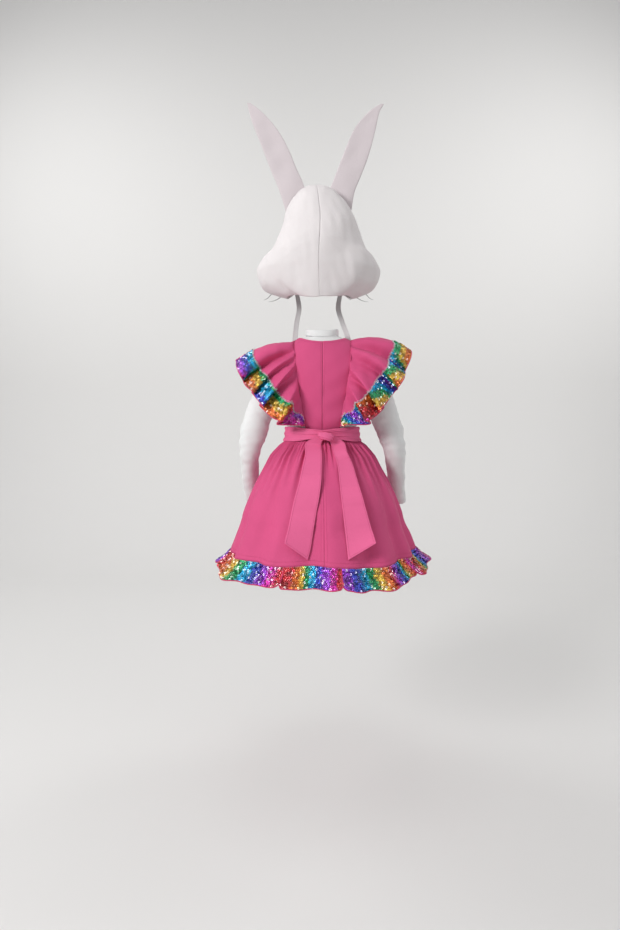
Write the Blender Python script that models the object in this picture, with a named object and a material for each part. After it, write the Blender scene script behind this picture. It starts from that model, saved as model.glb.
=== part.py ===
"""Rabbit mascot costume: hood with ears, white top, pink pinafore dress, sash and hem flounce.

Metres, +Z up, +Y to the wearer's front. The origin lies between the shoulders at the neck base.
"""
import math

import bmesh
import bpy
import numpy as np

SEAM_GAP = 0.0003
HOOD_WALL = 0.006
TOP_WALL = 0.0013
DRESS_WALL = 0.0014
RUFFLE_WALL = 0.0016
TRIM_WALL = 0.0011
SASH_WALL = 0.0022
RIBBON_WALL = 0.0011

HOOD_CENTRE_X = -0.009
SKIRT_TOP_Z = -0.262
SKIRT_HEM_Z = -0.579
SKIRT_STEP = math.radians(4.5)
ARMHOLE_CENTRE_Z = -0.090
ARMHOLE_HALF_Y = 0.045
ARMHOLE_HALF_Z = 0.047

for old in list(bpy.data.objects):
    bpy.data.objects.remove(old, do_unlink=True)


def material(name, colour, roughness, sheen=0.0):
    """One plain Principled material."""
    made = bpy.data.materials.new(name)
    made.use_nodes = True
    shader = made.node_tree.nodes["Principled BSDF"]
    shader.inputs["Base Color"].default_value = (*colour, 1.0)
    shader.inputs["Roughness"].default_value = roughness
    shader.inputs["Sheen Weight"].default_value = sheen
    return made


WHITE_FLEECE = material("hood_cloth", (0.80, 0.76, 0.77), 0.9, 0.3)
WHITE_KNIT = material("top_cloth", (0.80, 0.80, 0.78), 0.85, 0.2)
PINK_CLOTH = material("dress_cloth", (0.72, 0.12, 0.27), 0.7, 0.2)
PINK_SATIN = material("sash_cloth", (0.76, 0.16, 0.30), 0.45, 0.1)
SEQUIN_CLOTH = material("sequin_cloth", (0.45, 0.20, 0.40), 0.3)
RIBBON_CLOTH = material("ribbon_cloth", (0.62, 0.62, 0.64), 0.5)
WHISKER_PLASTIC = material("whisker_plastic", (0.05, 0.05, 0.05), 0.5)


def curve(table, count, ease=None):
    """Smooth Catmull-Rom samples through the rows of a table, evenly spread by row number."""
    rows = np.array(table, dtype=float)
    last = len(rows) - 1
    out = []
    for step in range(count):
        share = step / (count - 1)
        if ease is not None:
            share = ease(share)
        out.append(spline(rows, share * last))
    return np.array(out)


def spline(rows, place):
    """Catmull-Rom value of the rows at a fractional row number."""
    last = len(rows) - 1
    place = min(max(place, 0.0), float(last))
    low = min(int(place), last - 1)
    t = place - low
    p1 = rows[low]
    p2 = rows[low + 1]
    p0 = rows[low - 1] if low > 0 else 2.0 * p1 - p2
    p3 = rows[low + 2] if low + 2 <= last else 2.0 * p2 - p1
    return 0.5 * (2.0 * p1 + (p2 - p0) * t + (2.0 * p0 - 5.0 * p1 + 4.0 * p2 - p3) * t * t
                  + (3.0 * p1 - p0 - 3.0 * p2 + p3) * t * t * t)


def table_at(table, key):
    """Row of a table looked up by its first column, with smooth steps between the rows."""
    rows = np.array(table, dtype=float)
    keys = rows[:, 0]
    up = keys[-1] > keys[0]
    order = keys if up else -keys
    value = key if up else -key
    place = float(np.interp(value, order, np.arange(len(keys))))
    return spline(rows[:, 1:], place)


def blend(a, b, share):
    """Straight mix of two values."""
    return a + (b - a) * share


def smooth_step(value, low, high):
    """Zero below low, one above high, soft between."""
    t = min(max((value - low) / (high - low), 0.0), 1.0)
    return t * t * (3.0 - 2.0 * t)


def link_mesh(name, points, faces, cloth, smooth=True):
    """New mesh object from points and faces, with faces turned outwards."""
    data = bpy.data.meshes.new(name)
    data.from_pydata([tuple(map(float, p)) for p in points], [], faces)
    data.validate()
    work = bmesh.new()
    work.from_mesh(data)
    bmesh.ops.remove_doubles(work, verts=work.verts, dist=0.00001)
    bmesh.ops.recalc_face_normals(work, faces=work.faces)
    for face in work.faces:
        face.smooth = smooth
    work.to_mesh(data)
    work.free()
    item = bpy.data.objects.new(name, data)
    bpy.context.scene.collection.objects.link(item)
    item.data.materials.append(cloth)
    return item


def grid_faces(rows, columns, closed=False):
    """Quads of a grid of points kept row by row."""
    faces = []
    across = columns if closed else columns - 1
    for r in range(rows - 1):
        for c in range(across):
            d = (c + 1) % columns
            faces.append([r * columns + c, r * columns + d, (r + 1) * columns + d, (r + 1) * columns + c])
    return faces


def weld(points, faces):
    """Joins equal points and drops the corners they repeat."""
    known = {}
    index = []
    kept = []
    for p in points:
        key = tuple(np.round(p, 7))
        if key not in known:
            known[key] = len(kept)
            kept.append(p)
        index.append(known[key])
    clean = []
    for face in faces:
        ring = []
        for corner in face:
            i = index[corner]
            if i not in ring:
                ring.append(i)
        if len(ring) > 2:
            clean.append(ring)
    return np.array(kept), clean


def vertex_normals(points, faces):
    """Unit normal at each point from the faces round it."""
    normals = np.zeros_like(points)
    for face in faces:
        centre = points[face].mean(axis=0)
        total = np.zeros(3)
        for a, b in zip(face, face[1:] + face[:1]):
            total += np.cross(points[a] - centre, points[b] - centre)
        for corner in face:
            normals[corner] += total
    lengths = np.linalg.norm(normals, axis=1)
    lengths[lengths < 1e-12] = 1.0
    return normals / lengths[:, None]


def shell(name, points, faces, thickness, cloth, lift=0.0, middle=None, keep=None, crown=False):
    """Closed solid wall between a surface and its copy moved in, away from the outer side."""
    points = np.array(points, dtype=float)
    faces = [half for face in faces for half in split_face(face)]
    away = points - (points * np.array([0.0, 0.0, 1.0]) if middle is None else middle)
    if np.sum(vertex_normals(points, faces) * away) < 0.0:
        faces = [face[::-1] for face in faces]
    kept = None if keep is None else {tuple(np.round(points[k], 7)) for k in keep}
    points, faces = weld(points, faces)
    normals = vertex_normals(points, faces)
    if crown:
        normals[int(np.argmax(points[:, 2]))] = (0.0, 0.0, 1.0)
    if kept is not None:
        stays = [tuple(np.round(p, 7)) in kept for p in points]
        faces = [face for face in faces if all(stays[k] for k in face)]
        used = sorted({k for face in faces for k in face})
        index = {k: n for n, k in enumerate(used)}
        faces = [[index[k] for k in face] for face in faces]
        points = points[used]
        normals = normals[used]
    outer = points + normals * lift
    inner = points + normals * (lift - thickness)
    count = len(points)
    edges = {}
    for face in faces:
        for a, b in zip(face, face[1:] + face[:1]):
            edges[(a, b)] = True
    every = [list(face) for face in faces]
    every += [[corner + count for corner in face[::-1]] for face in faces]
    for a, b in edges:
        if (b, a) not in edges:
            every.append([b, a, a + count, b + count])
    return link_mesh(name, np.vstack([outer, inner]), every, cloth)


def split_face(face):
    """A face as triangles with the same diagonal every time."""
    if len(face) == 3:
        return [list(face)]
    return [[face[0], face[1], face[2]], [face[0], face[2], face[3]]]


def wall(name, grid, thickness, cloth, closed=False, lift=0.0, rows=None, columns=None, **more):
    """Closed solid wall from a grid of points on its outside, or from a part of that grid."""
    grid = np.array(grid, dtype=float)
    high, wide = grid.shape[0], grid.shape[1]
    faces = grid_faces(high, wide, closed)
    middle = more.pop("middle", None)
    if closed:
        middle = np.repeat(grid.mean(axis=1), wide, axis=0)
    keep = None
    if rows is not None or columns is not None:
        first, last = rows or (0, high)
        left, right = columns or (0, wide)
        keep = [r * wide + c for r in range(first, last) for c in range(left, right)]
    return shell(name, grid.reshape(-1, 3), faces, thickness, cloth, lift, middle, keep, **more)


def block(name, outer, inner, cloth):
    """Closed solid between two grids of the same size."""
    outer = np.array(outer, dtype=float)
    inner = np.array(inner, dtype=float)
    rows, columns = outer.shape[0], outer.shape[1]
    faces = grid_faces(rows, columns)
    count = rows * columns
    every = [list(face) for face in faces]
    every += [[corner + count for corner in face[::-1]] for face in faces]
    border = [c for c in range(columns)]
    border += [r * columns + columns - 1 for r in range(1, rows)]
    border += [(rows - 1) * columns + c for c in range(columns - 2, -1, -1)]
    border += [r * columns for r in range(rows - 2, 0, -1)]
    for a, b in zip(border, border[1:] + border[:1]):
        every.append([b, a, a + count, b + count])
    return link_mesh(name, np.vstack([outer.reshape(-1, 3), inner.reshape(-1, 3)]), every, cloth)


# Top: half width, back depth, front depth, then height at the side, back and front, neck to hem
TORSO = [
    (0.0455, 0.046, 0.046, 0.012, 0.005, -0.006),
    (0.0640, 0.057, 0.056, 0.003, -0.010, -0.024),
    (0.0860, 0.066, 0.064, -0.011, -0.027, -0.040),
    (0.1060, 0.073, 0.071, -0.028, -0.046, -0.058),
    (0.1190, 0.079, 0.077, -0.048, -0.068, -0.076),
    (0.1195, 0.082, 0.080, -0.078, -0.092, -0.096),
    (0.1175, 0.083, 0.081, -0.112, -0.118, -0.118),
    (0.1155, 0.082, 0.082, -0.148, -0.148, -0.148),
    (0.1130, 0.080, 0.082, -0.184, -0.184, -0.184),
    (0.1115, 0.079, 0.081, -0.213, -0.213, -0.213),
    (0.0985, 0.074, 0.076, -0.234, -0.234, -0.234),
    (0.0930, 0.070, 0.072, -0.250, -0.250, -0.250),
    (0.0920, 0.069, 0.071, -0.268, -0.268, -0.268),
    (0.0980, 0.074, 0.076, -0.302, -0.302, -0.302),
    (0.1080, 0.082, 0.084, -0.340, -0.340, -0.340),
]


def torso_raw(angle, level):
    """Point of the top's outer face; angle 0 is the right side, -90 degrees the centre back."""
    row = spline(np.array(TORSO), level)
    c = math.cos(angle)
    s = math.sin(angle)
    depth = row[1] if s < 0 else row[2]
    end = row[4] if s < 0 else row[5]
    power = 2.0 / 2.2
    x = row[0] * math.copysign(abs(c) ** power, c)
    y = depth * math.copysign(abs(s) ** power, s)
    z = blend(row[3], end, s * s)
    return np.array([x, y, z])


def torso(angle, level, lift=0.0):
    """Point over the top, lifted off its face."""
    here = torso_raw(angle, level)
    if lift == 0.0:
        return here
    step = 0.02
    along = torso_raw(angle + step, level) - torso_raw(angle - step, level)
    top = min(level + 0.05, len(TORSO) - 1.0)
    low = max(level - 0.05, 0.0)
    down = torso_raw(angle, top) - torso_raw(angle, low)
    normal = np.cross(down, along)
    return here + normal / np.linalg.norm(normal) * lift


def cut_hole(item, centre, half_y, half_z, length):
    """Cuts an oval hole along X with an exact Boolean."""
    bpy.ops.mesh.primitive_cylinder_add(vertices=28, radius=1.0, depth=1.0)
    cutter = bpy.context.object
    cutter.name = item.name + "_cutter"
    for vert in cutter.data.vertices:
        x, y, z = vert.co
        vert.co = (z * length + centre[0], x * half_y + centre[1], y * half_z + centre[2])
    cut = item.modifiers.new("armhole", "BOOLEAN")
    cut.operation = "DIFFERENCE"
    cut.solver = "EXACT"
    cut.object = cutter
    evaluated = item.evaluated_get(bpy.context.evaluated_depsgraph_get())
    fresh = bpy.data.meshes.new_from_object(evaluated)
    item.modifiers.clear()
    item.data = fresh
    bpy.data.objects.remove(cutter, do_unlink=True)


def make_top_body():
    """Front and back of the top with oval armholes, open at the neck and the hem."""
    for name, start in (("shirt_back", -math.pi), ("shirt_front", 0.0)):
        grid = []
        for level in np.linspace(0.0, len(TORSO) - 1.0, 13):
            row = []
            for column in range(14):
                share = column / 13.0
                angle = start + 0.004 + (math.pi - 0.008) * share
                row.append(torso(angle, float(level)))
            grid.append(row)
        item = wall(name, grid, TOP_WALL, WHITE_KNIT)
        for side in (-1.0, 1.0):
            cut_hole(item, (side * 0.115, 0.0, ARMHOLE_CENTRE_Z), ARMHOLE_HALF_Y + 0.0004,
                     ARMHOLE_HALF_Z + 0.0004, 0.10)


def make_collar():
    """Narrow standing neckband, closed all round."""
    grid = []
    for height, grow in ((0.0, 0.0), (0.009, 0.0008), (0.018, -0.0004)):
        row = []
        for column in range(28):
            angle = 2.0 * math.pi * column / 28.0
            foot = torso(angle, 0.0)
            outward = np.array([math.cos(angle), math.sin(angle), 0.0])
            row.append(foot + outward * grow + np.array([0.0, 0.0, height + 0.0006]))
        grid.append(row)
    wall("shirt_collar", grid, 0.0022, WHITE_KNIT, closed=True)


# Sleeve rings: inner x, inner z, outer x, outer z, centre y, half depth, tilt in degrees
SLEEVE_LEFT = [
    (0.1215, -0.150, 0.152, -0.058, 0.000, 0.0440, 0),
    (0.1275, -0.172, 0.176, -0.090, 0.000, 0.0420, 0),
    (0.1345, -0.196, 0.190, -0.135, 0.000, 0.0395, 0),
    (0.1410, -0.216, 0.205, -0.175, 0.000, 0.0370, 0),
    (0.1490, -0.240, 0.218, -0.212, 0.002, 0.0360, 0),
    (0.1570, -0.264, 0.229, -0.246, 0.005, 0.0350, 6),
    (0.1650, -0.284, 0.232, -0.272, 0.010, 0.0335, 14),
    (0.1740, -0.308, 0.2315, -0.302, 0.018, 0.0300, 22),
    (0.1800, -0.336, 0.2320, -0.336, 0.036, 0.0275, 27),
    (0.1815, -0.372, 0.2325, -0.374, 0.062, 0.0255, 31),
    (0.1825, -0.410, 0.2320, -0.412, 0.089, 0.0238, 33),
    (0.1835, -0.440, 0.2290, -0.442, 0.111, 0.0220, 34),
    (0.1855, -0.462, 0.2250, -0.464, 0.129, 0.0200, 34),
]
SLEEVE_RIGHT = [
    (0.1215, -0.150, 0.152, -0.058, 0.000, 0.0440, 0),
    (0.1265, -0.172, 0.177, -0.090, 0.000, 0.0420, 0),
    (0.1315, -0.196, 0.192, -0.135, 0.000, 0.0395, 0),
    (0.1360, -0.217, 0.205, -0.175, 0.000, 0.0375, 0),
    (0.1460, -0.240, 0.2165, -0.212, 0.002, 0.0360, 0),
    (0.1570, -0.264, 0.2265, -0.243, 0.005, 0.0345, 6),
    (0.1650, -0.284, 0.2310, -0.270, 0.010, 0.0330, 14),
    (0.1740, -0.308, 0.2345, -0.302, 0.018, 0.0300, 22),
    (0.1800, -0.334, 0.2370, -0.336, 0.036, 0.0275, 27),
    (0.1885, -0.370, 0.2410, -0.372, 0.062, 0.0255, 31),
    (0.1975, -0.406, 0.2455, -0.408, 0.089, 0.0235, 33),
    (0.2070, -0.437, 0.2505, -0.439, 0.111, 0.0218, 34),
    (0.2150, -0.459, 0.2545, -0.461, 0.129, 0.0198, 34),
]


def surface_x(y, z):
    """Half width of the top's face at a depth and height beside the armhole."""
    row = table_at([(r[3], r[0], r[1], r[2]) for r in TORSO], z)
    depth = row[1] if y < 0 else row[2]
    return row[0] * max(1.0 - (abs(y) / depth) ** 2.2, 0.0) ** (1.0 / 2.2)


def sleeve_rings(table, side, rows, columns):
    """Rings of points from the armhole to the cuff; the last entry of a row turns its depth axis."""
    first = []
    for column in range(columns):
        turn = 2.0 * math.pi * column / columns
        y = ARMHOLE_HALF_Y * math.sin(turn)
        z = ARMHOLE_CENTRE_Z - ARMHOLE_HALF_Z * math.cos(turn)
        first.append(np.array([side * (surface_x(y, z) + 0.0004), y, z]))
    rings = [first]
    for row in curve(table, rows):
        inner = np.array([row[0], row[1]])
        outer = np.array([row[2], row[3]])
        middle = 0.5 * (inner + outer)
        reach = 0.5 * (inner - outer)
        tilt = math.radians(row[6])
        ring = []
        for column in range(columns):
            turn = 2.0 * math.pi * column / columns
            flat = middle + reach * math.cos(turn)
            deep = row[5] * math.sin(turn)
            ring.append(np.array([side * flat[0], row[4] + deep * math.cos(tilt),
                                  flat[1] + deep * math.sin(tilt)]))
        rings.append(ring)
    return rings


def make_sleeve(name, table, side):
    """One long sleeve, a tube from the armhole to the open cuff with a shallow wrinkle at the elbow."""
    rings = sleeve_rings(table, side, 14, 14)
    for r, ring in enumerate(rings):
        if r == 0:
            continue
        middle = np.mean(ring, axis=0)
        for c, p in enumerate(ring):
            turn = 2.0 * math.pi * c / 14.0
            bend = math.exp(-((middle[2] + 0.285) / 0.045) ** 2)
            ripple = 0.0006 * bend * math.sin(p[2] * 230.0 + 1.6 * math.sin(turn))
            fade = smooth_step(r, 1, 4) * (1.0 - smooth_step(r, 11, 14))
            ring[c] = p + (p - middle) / np.linalg.norm(p - middle) * ripple * fade
    wall(name, rings, TOP_WALL, WHITE_KNIT, closed=True)


# Ruffle seam over the bodice, from the shoulder down: height and half width
SEAM_LINE = [(-0.003, 0.0760), (-0.040, 0.0735), (-0.090, 0.0690), (-0.150, 0.0600), (-0.210, 0.0500),
             (-0.262, 0.0440)]
BODICE_LIFT = 0.0032
SHOULDER_LIFT = 0.0014
RUFFLE_END = 0.862
BODICE_TOP_LEVEL = 1.05
BODICE_END_LEVEL = 11.6


def level_of_width(width):
    """Level near the shoulder where the top is this wide."""
    return float(np.interp(width, [r[0] for r in TORSO[:5]], range(5)))


def seam_place(share, front):
    """Angle and level of the bodice edge; share 0 is the shoulder, 1 the waist."""
    top = level_of_width(0.0745)
    level = blend(top, BODICE_END_LEVEL, share)
    sign = 1.0 if front else -1.0
    low = 0.0
    high = math.pi / 2.0
    for _ in range(40):
        middle = 0.5 * (low + high)
        p = torso_raw(sign * middle, level)
        want = table_at(SEAM_LINE, min(max(p[2], -0.262), -0.003))[0]
        if p[0] > want:
            low = middle
        else:
            high = middle
    if share <= 0.0:
        return 0.0, top
    return sign * 0.5 * (low + high), level


def bodice_grid(front, rows, columns, start_gap):
    """Half panel of the bodice on the right side, from the centre line out to the ruffle seam."""
    sign = 1.0 if front else -1.0
    centre = sign * (math.pi / 2.0 - start_gap)
    neck = BODICE_TOP_LEVEL + (1.0 if front else 0.0)
    corner = level_of_width(0.0640)
    grid = []
    for r in range(rows):
        w = (r / (rows - 1.0)) ** 1.5
        right = np.array(seam_place(w, front))
        left = np.array([centre, blend(neck, BODICE_END_LEVEL, w)])
        line = []
        for c in range(columns):
            u = c / (columns - 1.0)
            place = blend(left, right, u)
            if u < 0.86:
                edge = np.array([centre * (1.0 - u / 0.86), blend(neck, corner, smooth_step(u, 0.1, 0.86))])
            else:
                edge = np.array([0.0, blend(corner, right[1] if r == 0 else seam_place(0.0, front)[1],
                                            (u - 0.86) / 0.14)])
            straight = blend(np.array([centre, neck]), np.array(seam_place(0.0, front)), u)
            place = place + (edge - straight) * (1.0 - w) ** 2
            angle = place[0]
            if abs(angle) < 0.006:
                angle = sign * 0.006
            lift = BODICE_LIFT + SHOULDER_LIFT * (1.0 - smooth_step(w, 0.0, 0.3))
            line.append(torso(angle, place[1], lift))
        grid.append(line)
    return np.array(grid)


def mirrored(grid):
    """The same points on the other side of the body."""
    return np.array(grid) * np.array([-1.0, 1.0, 1.0])


def make_bodice():
    """Front panel in one piece, two back panels that meet at the centre-back seam."""
    back = bodice_grid(False, 12, 6, 0.004)
    wall("bodice_back_right", back, DRESS_WALL, PINK_CLOTH)
    wall("bodice_back_left", mirrored(back), DRESS_WALL, PINK_CLOTH)
    half = bodice_grid(True, 12, 6, 0.0)
    whole = np.concatenate([mirrored(half)[:, ::-1], half[:, 1:]], axis=1)
    wall("bodice_front", whole, DRESS_WALL, PINK_CLOTH)


# Outer edge of a ruffle on the back, waist to shoulder: share of the seam, half width, depth, height
RUFFLE_EDGE = [
    (0.00, 0.0530, -0.0850, -0.2370),
    (0.06, 0.0680, -0.0990, -0.2355),
    (0.14, 0.1030, -0.1080, -0.2290),
    (0.22, 0.1340, -0.1060, -0.2150),
    (0.30, 0.1610, -0.1000, -0.1840),
    (0.36, 0.1840, -0.0920, -0.1520),
    (0.41, 0.2060, -0.0780, -0.1270),
    (0.455, 0.2270, -0.0520, -0.0870),
    (0.50, 0.2440, 0.0000, -0.0380),
]


def ruffle_edge(share):
    """Outer edge of the ruffle, front half like the back half."""
    near = share if share <= 0.5 else 1.0 - share
    x, y, z = table_at(RUFFLE_EDGE, near)
    return np.array([x, y if share <= 0.5 else -y, z])


def bodice_edge():
    """Outer edge of the right bodice, waist back over the shoulder to waist front."""
    back = bodice_grid(False, 12, 6, 0.004)[:, -2:]
    front = bodice_grid(True, 12, 6, 0.0)[:, -2:]
    line = np.concatenate([back[::-1], front], axis=0)
    away = line[:, 1] - line[:, 0]
    away = away / np.linalg.norm(away, axis=1)[:, None]
    return line[:, 1] + away * 0.0006


def ruffle_seam(edge, share):
    """Point along the bodice edge where the ruffle is sewn on."""
    half = len(edge) // 2
    along = abs(share - 0.5) * 2.0 * RUFFLE_END
    place = (len(edge) // 2 - 1) * along ** (1.0 / 1.5)
    place = half - 1 - place if share <= 0.5 else half + place
    low = min(int(place), len(edge) - 2)
    return blend(edge[low], edge[low + 1], place - low)


def ruffle_grid(side, columns, rows, fold_turns, fold_phase):
    """Points of a flutter ruffle, waist back over the shoulder to waist front, seam to outer edge."""
    line_on = bodice_edge()
    seam = [ruffle_seam(line_on, c / (columns - 1.0)) for c in range(columns)]
    edge = [ruffle_edge(c / (columns - 1.0)) for c in range(columns)]
    grid = []
    for r in range(rows):
        w = r / (rows - 1.0)
        line = []
        for c in range(columns):
            share = c / (columns - 1.0)
            out = edge[c] - seam[c]
            width = np.linalg.norm(out)
            before = edge[max(c - 1, 0)]
            after = edge[min(c + 1, columns - 1)]
            normal = np.cross(after - before, out)
            normal = normal / max(np.linalg.norm(normal), 1e-9)
            if np.dot(normal, np.array([0.0, seam[c][1] * 4.0, 0.15])) < 0:
                normal = -normal
            swell = 0.020 * math.sin(math.pi * w) * smooth_step(width, 0.02, 0.12)
            folds = math.sin(2.0 * math.pi * fold_turns * share + fold_phase)
            folds += 0.35 * math.sin(4.0 * math.pi * fold_turns * share + 2.0 * fold_phase + 0.7)
            depth = 0.0115 * w ** 1.2 * smooth_step(width, 0.01, 0.10) * folds
            p = seam[c] + out * w + normal * (swell + depth)
            p[0] = max(p[0], seam[c][0] * (1.0 if w > 0 else 0.0))
            line.append(p * np.array([side, 1.0, 1.0]))
        grid.append(line)
    return np.array(grid)


def make_ruffles():
    """Shoulder ruffles and the sequin trims that lie on their outer part."""
    for name, side, turns, phase in (("left", -1.0, 7.0, 0.4), ("right", 1.0, 7.0, 1.3)):
        grid = ruffle_grid(side, 53, 6, turns, phase)
        wall("ruffle_" + name, grid, RUFFLE_WALL, PINK_CLOTH)
        wall("sequin_band_" + name, grid, TRIM_WALL, SEQUIN_CLOTH, lift=TRIM_WALL + SEAM_GAP,
             rows=(3, 6), columns=(4, 49))


# Skirt: height, half width, half depth
SKIRT = [
    (-0.262, 0.0990, 0.0780),
    (-0.278, 0.1038, 0.0828),
    (-0.291, 0.1168, 0.0965),
    (-0.319, 0.1410, 0.1240),
    (-0.353, 0.1610, 0.1480),
    (-0.392, 0.1820, 0.1720),
    (-0.428, 0.1990, 0.1900),
    (-0.472, 0.2140, 0.2080),
    (-0.501, 0.2210, 0.2180),
    (-0.540, 0.2360, 0.2350),
    (-0.579, 0.2520, 0.2520),
]


def hem_lift(angle):
    """Unevenness of the hem line round the skirt."""
    return 0.004 * math.sin(3.0 * angle + 0.6) + 0.0025 * math.sin(7.0 * angle)


def skirt_point(angle, share):
    """Point of the gathered skirt; share 0 is the waist, 1 the hem."""
    z = blend(SKIRT_TOP_Z, SKIRT_HEM_Z, share)
    wide, deep = table_at(SKIRT, z)
    fine = 0.0030 * smooth_step(share, 0.05, 0.14) * (1.0 - smooth_step(share, 0.12, 0.42))
    ripple = fine * math.sin(20.0 * angle + 1.1 * math.sin(3.0 * angle))
    soft = 0.0085 * smooth_step(share, 0.10, 0.85)
    ripple += soft * math.sin(12.0 * angle + 0.9 * math.sin(2.0 * angle + 0.5) + 0.5 * share)
    ripple += 0.0035 * smooth_step(share, 0.3, 1.0) * math.sin(5.0 * angle + 1.0)
    x = (wide + ripple) * math.cos(angle)
    y = (deep + ripple) * math.sin(angle)
    return np.array([x, y, z + hem_lift(angle) * share * share])


def make_skirt():
    """Front in one piece and two back pieces that meet at the centre-back seam."""
    spans = (
        ("skirt_front", 0.0, math.pi, 41),
        ("skirt_back_left", -math.pi, -math.pi / 2.0, 21),
        ("skirt_back_right", -math.pi / 2.0, 0.0, 21),
    )
    for name, start, end, columns in spans:
        grid = []
        for share in (0.0, 0.055, 0.13, 0.26, 0.44, 0.72, 1.0):
            turns = [blend(start + 0.0009, end - 0.0009, c / (columns - 1.0)) for c in range(columns)]
            turns = [start - SKIRT_STEP] + turns + [end + SKIRT_STEP]
            grid.append([skirt_point(angle, share) for angle in turns])
        wall(name, grid, DRESS_WALL, PINK_CLOTH, columns=(1, columns + 1))


# Hem strips: first and last skirt column, drop at the start, middle and end
STRIPS = [
    (1, 15, 0.054, 0.060, 0.047),
    (15, 22, 0.052, 0.056, 0.050),
    (22, 33, 0.053, 0.057, 0.052),
    (33, 41, 0.050, 0.055, 0.052),
    (41, 51, 0.052, 0.058, 0.050),
    (51, 61, 0.050, 0.057, 0.052),
    (61, 71, 0.052, 0.058, 0.050),
    (71, 81, 0.050, 0.056, 0.052),
]


def hem_point(column, share=1.0):
    """Point of the skirt edge at a fractional column of its panels."""
    low = math.floor(column)
    a = skirt_point(-math.pi + low * SKIRT_STEP, share)
    b = skirt_point(-math.pi + (low + 1) * SKIRT_STEP, share)
    return blend(a, b, column - low)


def strip_point(column, drop, down):
    """Point of a hem strip, flaring out from the skirt's lower edge."""
    top = hem_point(column)
    above = top - hem_point(column, 0.97)
    top = top + above / np.linalg.norm(above) * 0.0005
    angle = -math.pi + column * SKIRT_STEP
    outward = np.array([math.cos(angle), math.sin(angle), 0.0])
    side = abs(math.cos(angle)) ** 2
    slope = math.radians(blend(28.0, 50.0, side))
    reach = drop * down
    lean = outward * math.sin(slope) * reach
    fall = np.array([0.0, 0.0, -math.cos(slope) * reach])
    curl = outward * 0.004 * math.sin(math.pi * down) * smooth_step(drop, 0.01, 0.05)
    return top + lean + fall - curl


def strip_grid(strip, rows):
    """Grid of one hem strip with rounded lower corners."""
    start, end, first, middle, last = strip
    places = [start + 0.02] + list(range(start + 1, end)) + [end - 0.02]
    grid = []
    for r in range(rows):
        line = []
        for place in places:
            share = (place - start) / (end - start)
            drop = spline(np.array([[first], [middle], [last]]), share * 2.0)[0]
            corner = min(share, 1.0 - share)
            drop = drop * (0.62 + 0.38 * math.sin(0.5 * math.pi * min(corner / 0.10, 1.0)))
            line.append(strip_point(place, drop, r / (rows - 1.0)))
        grid.append(line)
    return np.array(grid)


def make_flounce():
    """Eight sequin strips set round the hem."""
    for number, strip in enumerate(STRIPS, start=1):
        wall("hem_strip_%d" % number, strip_grid(strip, 4), RUFFLE_WALL, SEQUIN_CLOTH)


# Sash: height, half width, half depth
SASH = [
    (-0.2395, 0.1030, 0.0840),
    (-0.2450, 0.1045, 0.0860),
    (-0.2520, 0.1050, 0.0868),
    (-0.2590, 0.1052, 0.0870),
    (-0.2660, 0.1058, 0.0878),
    (-0.2730, 0.1075, 0.0898),
    (-0.2790, 0.1095, 0.0922),
]
KNOT_CENTRE = (0.0075, -0.1060, -0.2650)


def sash_point(angle, level):
    """Point of the sash band with soft lengthwise pleats that pull to the knot at the back."""
    z, wide, deep = spline(np.array(SASH), level)
    near = 1.0 - smooth_step(abs(angle + math.pi / 2.0), 0.05, 1.0)
    pleat = 0.0012 * math.sin(level * 2.6 + 2.0 * math.sin(angle * 2.0))
    z = blend(z, -0.2600, 0.45 * near * (1.0 - smooth_step(abs(angle + 1.5), 0.0, 0.35) * 0.2))
    return np.array([(wide + pleat) * math.cos(angle), (deep + pleat + 0.002 * near) * math.sin(angle), z])


def make_sash_band():
    """Band round the waist, open inside where the body goes."""
    grid = []
    for level in (0.0, 1.5, 3.0, 4.5, 6.0):
        line = []
        for c in range(40):
            angle = 2.0 * math.pi * c / 40.0
            line.append(sash_point(angle, level))
        grid.append(line)
    wall("sash_band", grid, SASH_WALL, PINK_SATIN, closed=True)


def make_knot():
    """Tied knot: a soft wrapped lump on the back of the band."""
    points = []
    faces = []
    rings = 7
    around = 12
    cx, cy, cz = KNOT_CENTRE
    for r in range(rings):
        lat = math.pi * (r + 0.5) / rings - math.pi / 2.0
        for c in range(around):
            lon = 2.0 * math.pi * c / around
            wrap = 1.0 + 0.07 * math.sin(3.0 * lat + 2.0 * lon)
            x = 0.0190 * math.cos(lat) * math.cos(lon) * wrap
            y = 0.0125 * math.cos(lat) * math.sin(lon) * wrap
            z = 0.0135 * math.sin(lat) * wrap + 0.003 * math.sin(lon) * math.cos(lat)
            points.append((cx + x, cy + y, cz + z))
    for r in range(rings - 1):
        for c in range(around):
            d = (c + 1) % around
            faces.append([r * around + c, r * around + d, (r + 1) * around + d, (r + 1) * around + c])
    faces.append(list(range(around))[::-1])
    faces.append([(rings - 1) * around + c for c in range(around)])
    link_mesh("sash_knot", points, faces, PINK_SATIN)


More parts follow.
